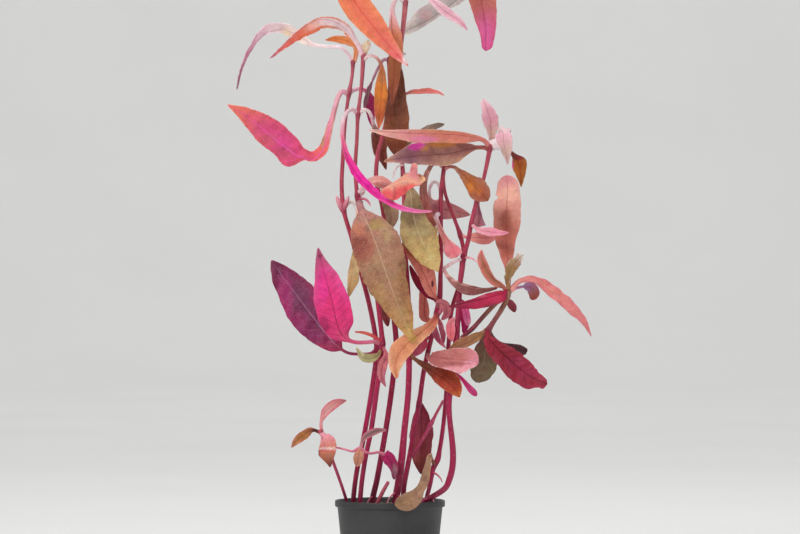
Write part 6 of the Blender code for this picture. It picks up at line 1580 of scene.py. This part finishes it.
def make_stage(settings):
    """The pale floor, the soft lamps, the pale surroundings and the camera."""
    bend = [(FLOOR_RADIUS + FLOOR_BEND * math.sin(turn), FLOOR_BEND * (1.0 - math.cos(turn)))
            for turn in np.linspace(0.0, math.pi / 2.0, 13)]
    flat = [(radius, 0.0) for radius in np.linspace(0.0, FLOOR_RADIUS, 7)[:-1]]
    wall = [(FLOOR_RADIUS + FLOOR_BEND, WALL_TOP)]
    floor = lathe("studio_floor", flat + bend + wall, FLOOR_SEGMENTS)
    floor.data.materials.append(floor_material(settings))
    bpy.ops.object.shade_smooth()
    floor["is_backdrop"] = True
    world = bpy.data.worlds.new("pale surroundings")
    world.use_nodes = True
    backdrop = world.node_tree.nodes["Background"]
    backdrop.inputs["Color"].default_value = (*settings.sky_colour, 1.0)
    backdrop.inputs["Strength"].default_value = settings.sky_strength
    bpy.context.scene.world = world
    bpy.context.scene.view_settings.view_transform = "Standard"
    power = settings.lamp_power
    add_light("key_lamp", (-0.9, -1.5, 1.5), LAMP_AIM, 0.8, power, (1.0, 0.98, 0.96))
    add_light("fill_lamp", (1.5, -1.3, 0.7), LAMP_AIM, 1.2, power * 0.2, (0.97, 0.98, 1.0))
    add_light("wall_lamp", (0.0, 2.4, 2.6), (0.0, 5.0, 0.5), 2.0, power * 1.2, (1.0, 1.0, 1.0))
    add_light("top_lamp", (0.2, 0.5, 1.7), (0.0, 0.0, 0.2), 0.8, power * 0.5, (1.0, 1.0, 1.0))
    lens = bpy.data.cameras.new("photo_camera")
    lens.lens = FOCAL_LENGTH
    lens.sensor_width = FILM_WIDTH
    lens.clip_end = FARTHEST_SEEN
    camera = bpy.data.objects.new("photo_camera", lens)
    camera.location = (CAMERA_SIDEWAYS, -settings.camera_distance, CAMERA_HEIGHT)
    camera.rotation_euler = (math.pi / 2.0, 0.0, 0.0)
    bpy.context.scene.collection.objects.link(camera)
    bpy.context.scene.camera = camera


def leaf_materials(settings):
    """The material of each leaf tone."""
    return {
        tone: bpy.data.materials.get(tone + " leaf tissue")
        or leaf_material(tone + " leaf tissue", settings, mottle, gloss)
        for tone, (mottle, gloss) in LEAF_TONES.items()
    }


class PlantLeafSettings(bpy.types.PropertyGroup):
    """Sizes and strengths of the leaves."""

    blade_thickness: bpy.props.FloatProperty(
        name="Blade thickness", description="Thickness of a leaf's blade", default=0.0004, unit="LENGTH",
        precision=5)
    petiole_thickness: bpy.props.FloatProperty(
        name="Petiole thickness", description="Thickness of the rolled petiole's wall", default=0.0009,
        unit="LENGTH", precision=5)
    waviness: bpy.props.FloatProperty(
        name="Waviness", description="Height of the margins' waves against the looks", default=1.0,
        subtype="FACTOR")
    vein_strength: bpy.props.FloatProperty(
        name="Side veins", description="Strength of the side veins against the looks", default=1.0,
        subtype="FACTOR")


class PlantStemSettings(bpy.types.PropertyGroup):
    """Sizes of the stems' details."""

    collar: bpy.props.FloatProperty(
        name="Node collar", description="How far a node stands out round its stem", default=0.0002,
        unit="LENGTH", precision=5)
    ridge_depth: bpy.props.FloatProperty(
        name="Ridges", description="Depth of the long ridges as a share of the radius", default=0.035,
        subtype="FACTOR")


class PlantPotSettings(bpy.types.PropertyGroup):
    """Colours of the pot and the plug, and the plug's fibres."""

    colour: bpy.props.FloatVectorProperty(
        name="Pot colour", description="Colour of the pot's plastic", default=(0.02, 0.02, 0.022),
        subtype="COLOR", size=3)
    wool_colour: bpy.props.FloatVectorProperty(
        name="Wool colour", description="Dark colour of the mineral wool", default=(0.16, 0.12, 0.085),
        subtype="COLOR", size=3)
    fibre_count: bpy.props.IntProperty(
        name="Fibres", description="Loose fibres on top of the plug", default=420)
    fibre_radius: bpy.props.FloatProperty(
        name="Fibre radius", description="Radius of a loose fibre", default=0.00009, unit="LENGTH",
        precision=6)


class PlantStageSettings(bpy.types.PropertyGroup):
    """The floor, the lamps and the camera."""

    floor_colour: bpy.props.FloatVectorProperty(
        name="Floor colour", description="Colour of the studio floor", default=(0.86, 0.86, 0.85),
        subtype="COLOR", size=3)
    sky_colour: bpy.props.FloatVectorProperty(
        name="Surroundings", description="Colour of the surroundings", default=(0.93, 0.94, 0.95),
        subtype="COLOR", size=3)
    sky_strength: bpy.props.FloatProperty(
        name="Surroundings strength", description="Brightness of the surroundings", default=0.4)
    lamp_power: bpy.props.FloatProperty(
        name="Lamp power", description="Power of the main lamp", default=24.0, unit="POWER")
    camera_distance: bpy.props.FloatProperty(
        name="Camera distance", description="Distance of the camera from the plant", default=2.0,
        unit="LENGTH")


class PLANT_OT_make_pot(bpy.types.Operator):
    """Make the pot."""

    bl_idname = "plant.make_pot"
    bl_label = "Make pot"

    def execute(self, context):
        declare(make_pot(pot_material(context.scene.plant_pot)), "pot", "pot")
        return {"FINISHED"}


class PLANT_OT_make_plug(bpy.types.Operator):
    """Make the growing plug with its fibres."""

    bl_idname = "plant.make_plug"
    bl_label = "Make growing plug"

    def execute(self, context):
        settings = context.scene.plant_pot
        declare(make_plug(settings, wool_material(settings)), "growing_plug", "plug")
        return {"FINISHED"}


class PLANT_OT_make_stems(bpy.types.Operator):
    """Make the stems, each with the small leaves, buds and roots that grow on it."""

    bl_idname = "plant.make_stems"
    bl_label = "Make stems"

    def execute(self, context):
        settings, leaf_settings = context.scene.plant_stems, context.scene.plant_leaves
        skin = stem_material()
        tissues = leaf_materials(leaf_settings)
        for name in STEMS:
            stem = make_stem(name, settings, skin)
            grown = [make_strand(other, skin) for other, strand in STRANDS.items() if strand[0] == name]
            for other, entry in {**SMALL_LEAVES, **TINY_LEAVES}.items():
                if entry["stem"] == name:
                    grown.append(make_leaf(other, entry, leaf_settings, tissues))
            if grown:
                join_to(stem, grown)
            declare(stem, name, "stem")
        return {"FINISHED"}


class PLANT_OT_make_leaves(bpy.types.Operator):
    """Make the leaves that are pieces of their own."""

    bl_idname = "plant.make_leaves"
    bl_label = "Make leaves"

    def execute(self, context):
        settings = context.scene.plant_leaves
        tissues = leaf_materials(settings)
        for name, entry in LEAVES.items():
            piece = make_leaf(name, entry, settings, tissues)
            declare(piece, name, "leaf_" + entry["tone"].replace(" ", "_"))
        return {"FINISHED"}


class PLANT_OT_make_stage(bpy.types.Operator):
    """Make the floor, the lamps and the camera."""

    bl_idname = "plant.make_stage"
    bl_label = "Make stage"

    def execute(self, context):
        make_stage(context.scene.plant_stage)
        return {"FINISHED"}


class PLANT_PT_panel(bpy.types.Panel):
    """Lists the settings and the operators."""

    bl_idname = "PLANT_PT_panel"
    bl_label = "Potted Plant"
    bl_space_type = "VIEW_3D"
    bl_region_type = "UI"
    bl_category = "Plant"

    def draw(self, context):
        scene = context.scene
        for settings in (scene.plant_leaves, scene.plant_stems, scene.plant_pot, scene.plant_stage):
            for key in settings.__annotations__:
                self.layout.prop(settings, key)
        for operator in OPERATORS:
            self.layout.operator(operator.bl_idname)


OPERATORS = (
    PLANT_OT_make_pot, PLANT_OT_make_plug, PLANT_OT_make_stems, PLANT_OT_make_leaves, PLANT_OT_make_stage,
)
SETTINGS = {
    "plant_leaves": PlantLeafSettings,
    "plant_stems": PlantStemSettings,
    "plant_pot": PlantPotSettings,
    "plant_stage": PlantStageSettings,
}


def register():
    """Add the settings, the operators and the panel to Blender."""
    for group in SETTINGS.values():
        bpy.utils.register_class(group)
    for kind in (*OPERATORS, PLANT_PT_panel):
        bpy.utils.register_class(kind)
    for name, group in SETTINGS.items():
        setattr(bpy.types.Scene, name, bpy.props.PointerProperty(type=group))


def unregister():
    """Take them out again."""
    for name in SETTINGS:
        delattr(bpy.types.Scene, name)
    for kind in (*OPERATORS, PLANT_PT_panel):
        bpy.utils.unregister_class(kind)
    for group in SETTINGS.values():
        bpy.utils.unregister_class(group)


def main():
    """Make everything."""
    register()
    bpy.ops.plant.make_pot()
    bpy.ops.plant.make_plug()
    bpy.ops.plant.make_stems()
    bpy.ops.plant.make_leaves()
    bpy.ops.plant.make_stage()
    boxes = {"cad": CAD_BOX, "visual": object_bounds()}
    boxes = {name: [[float(part) for part in corner] for corner in box] for name, box in boxes.items()}


if __name__ == "__main__":
    main()
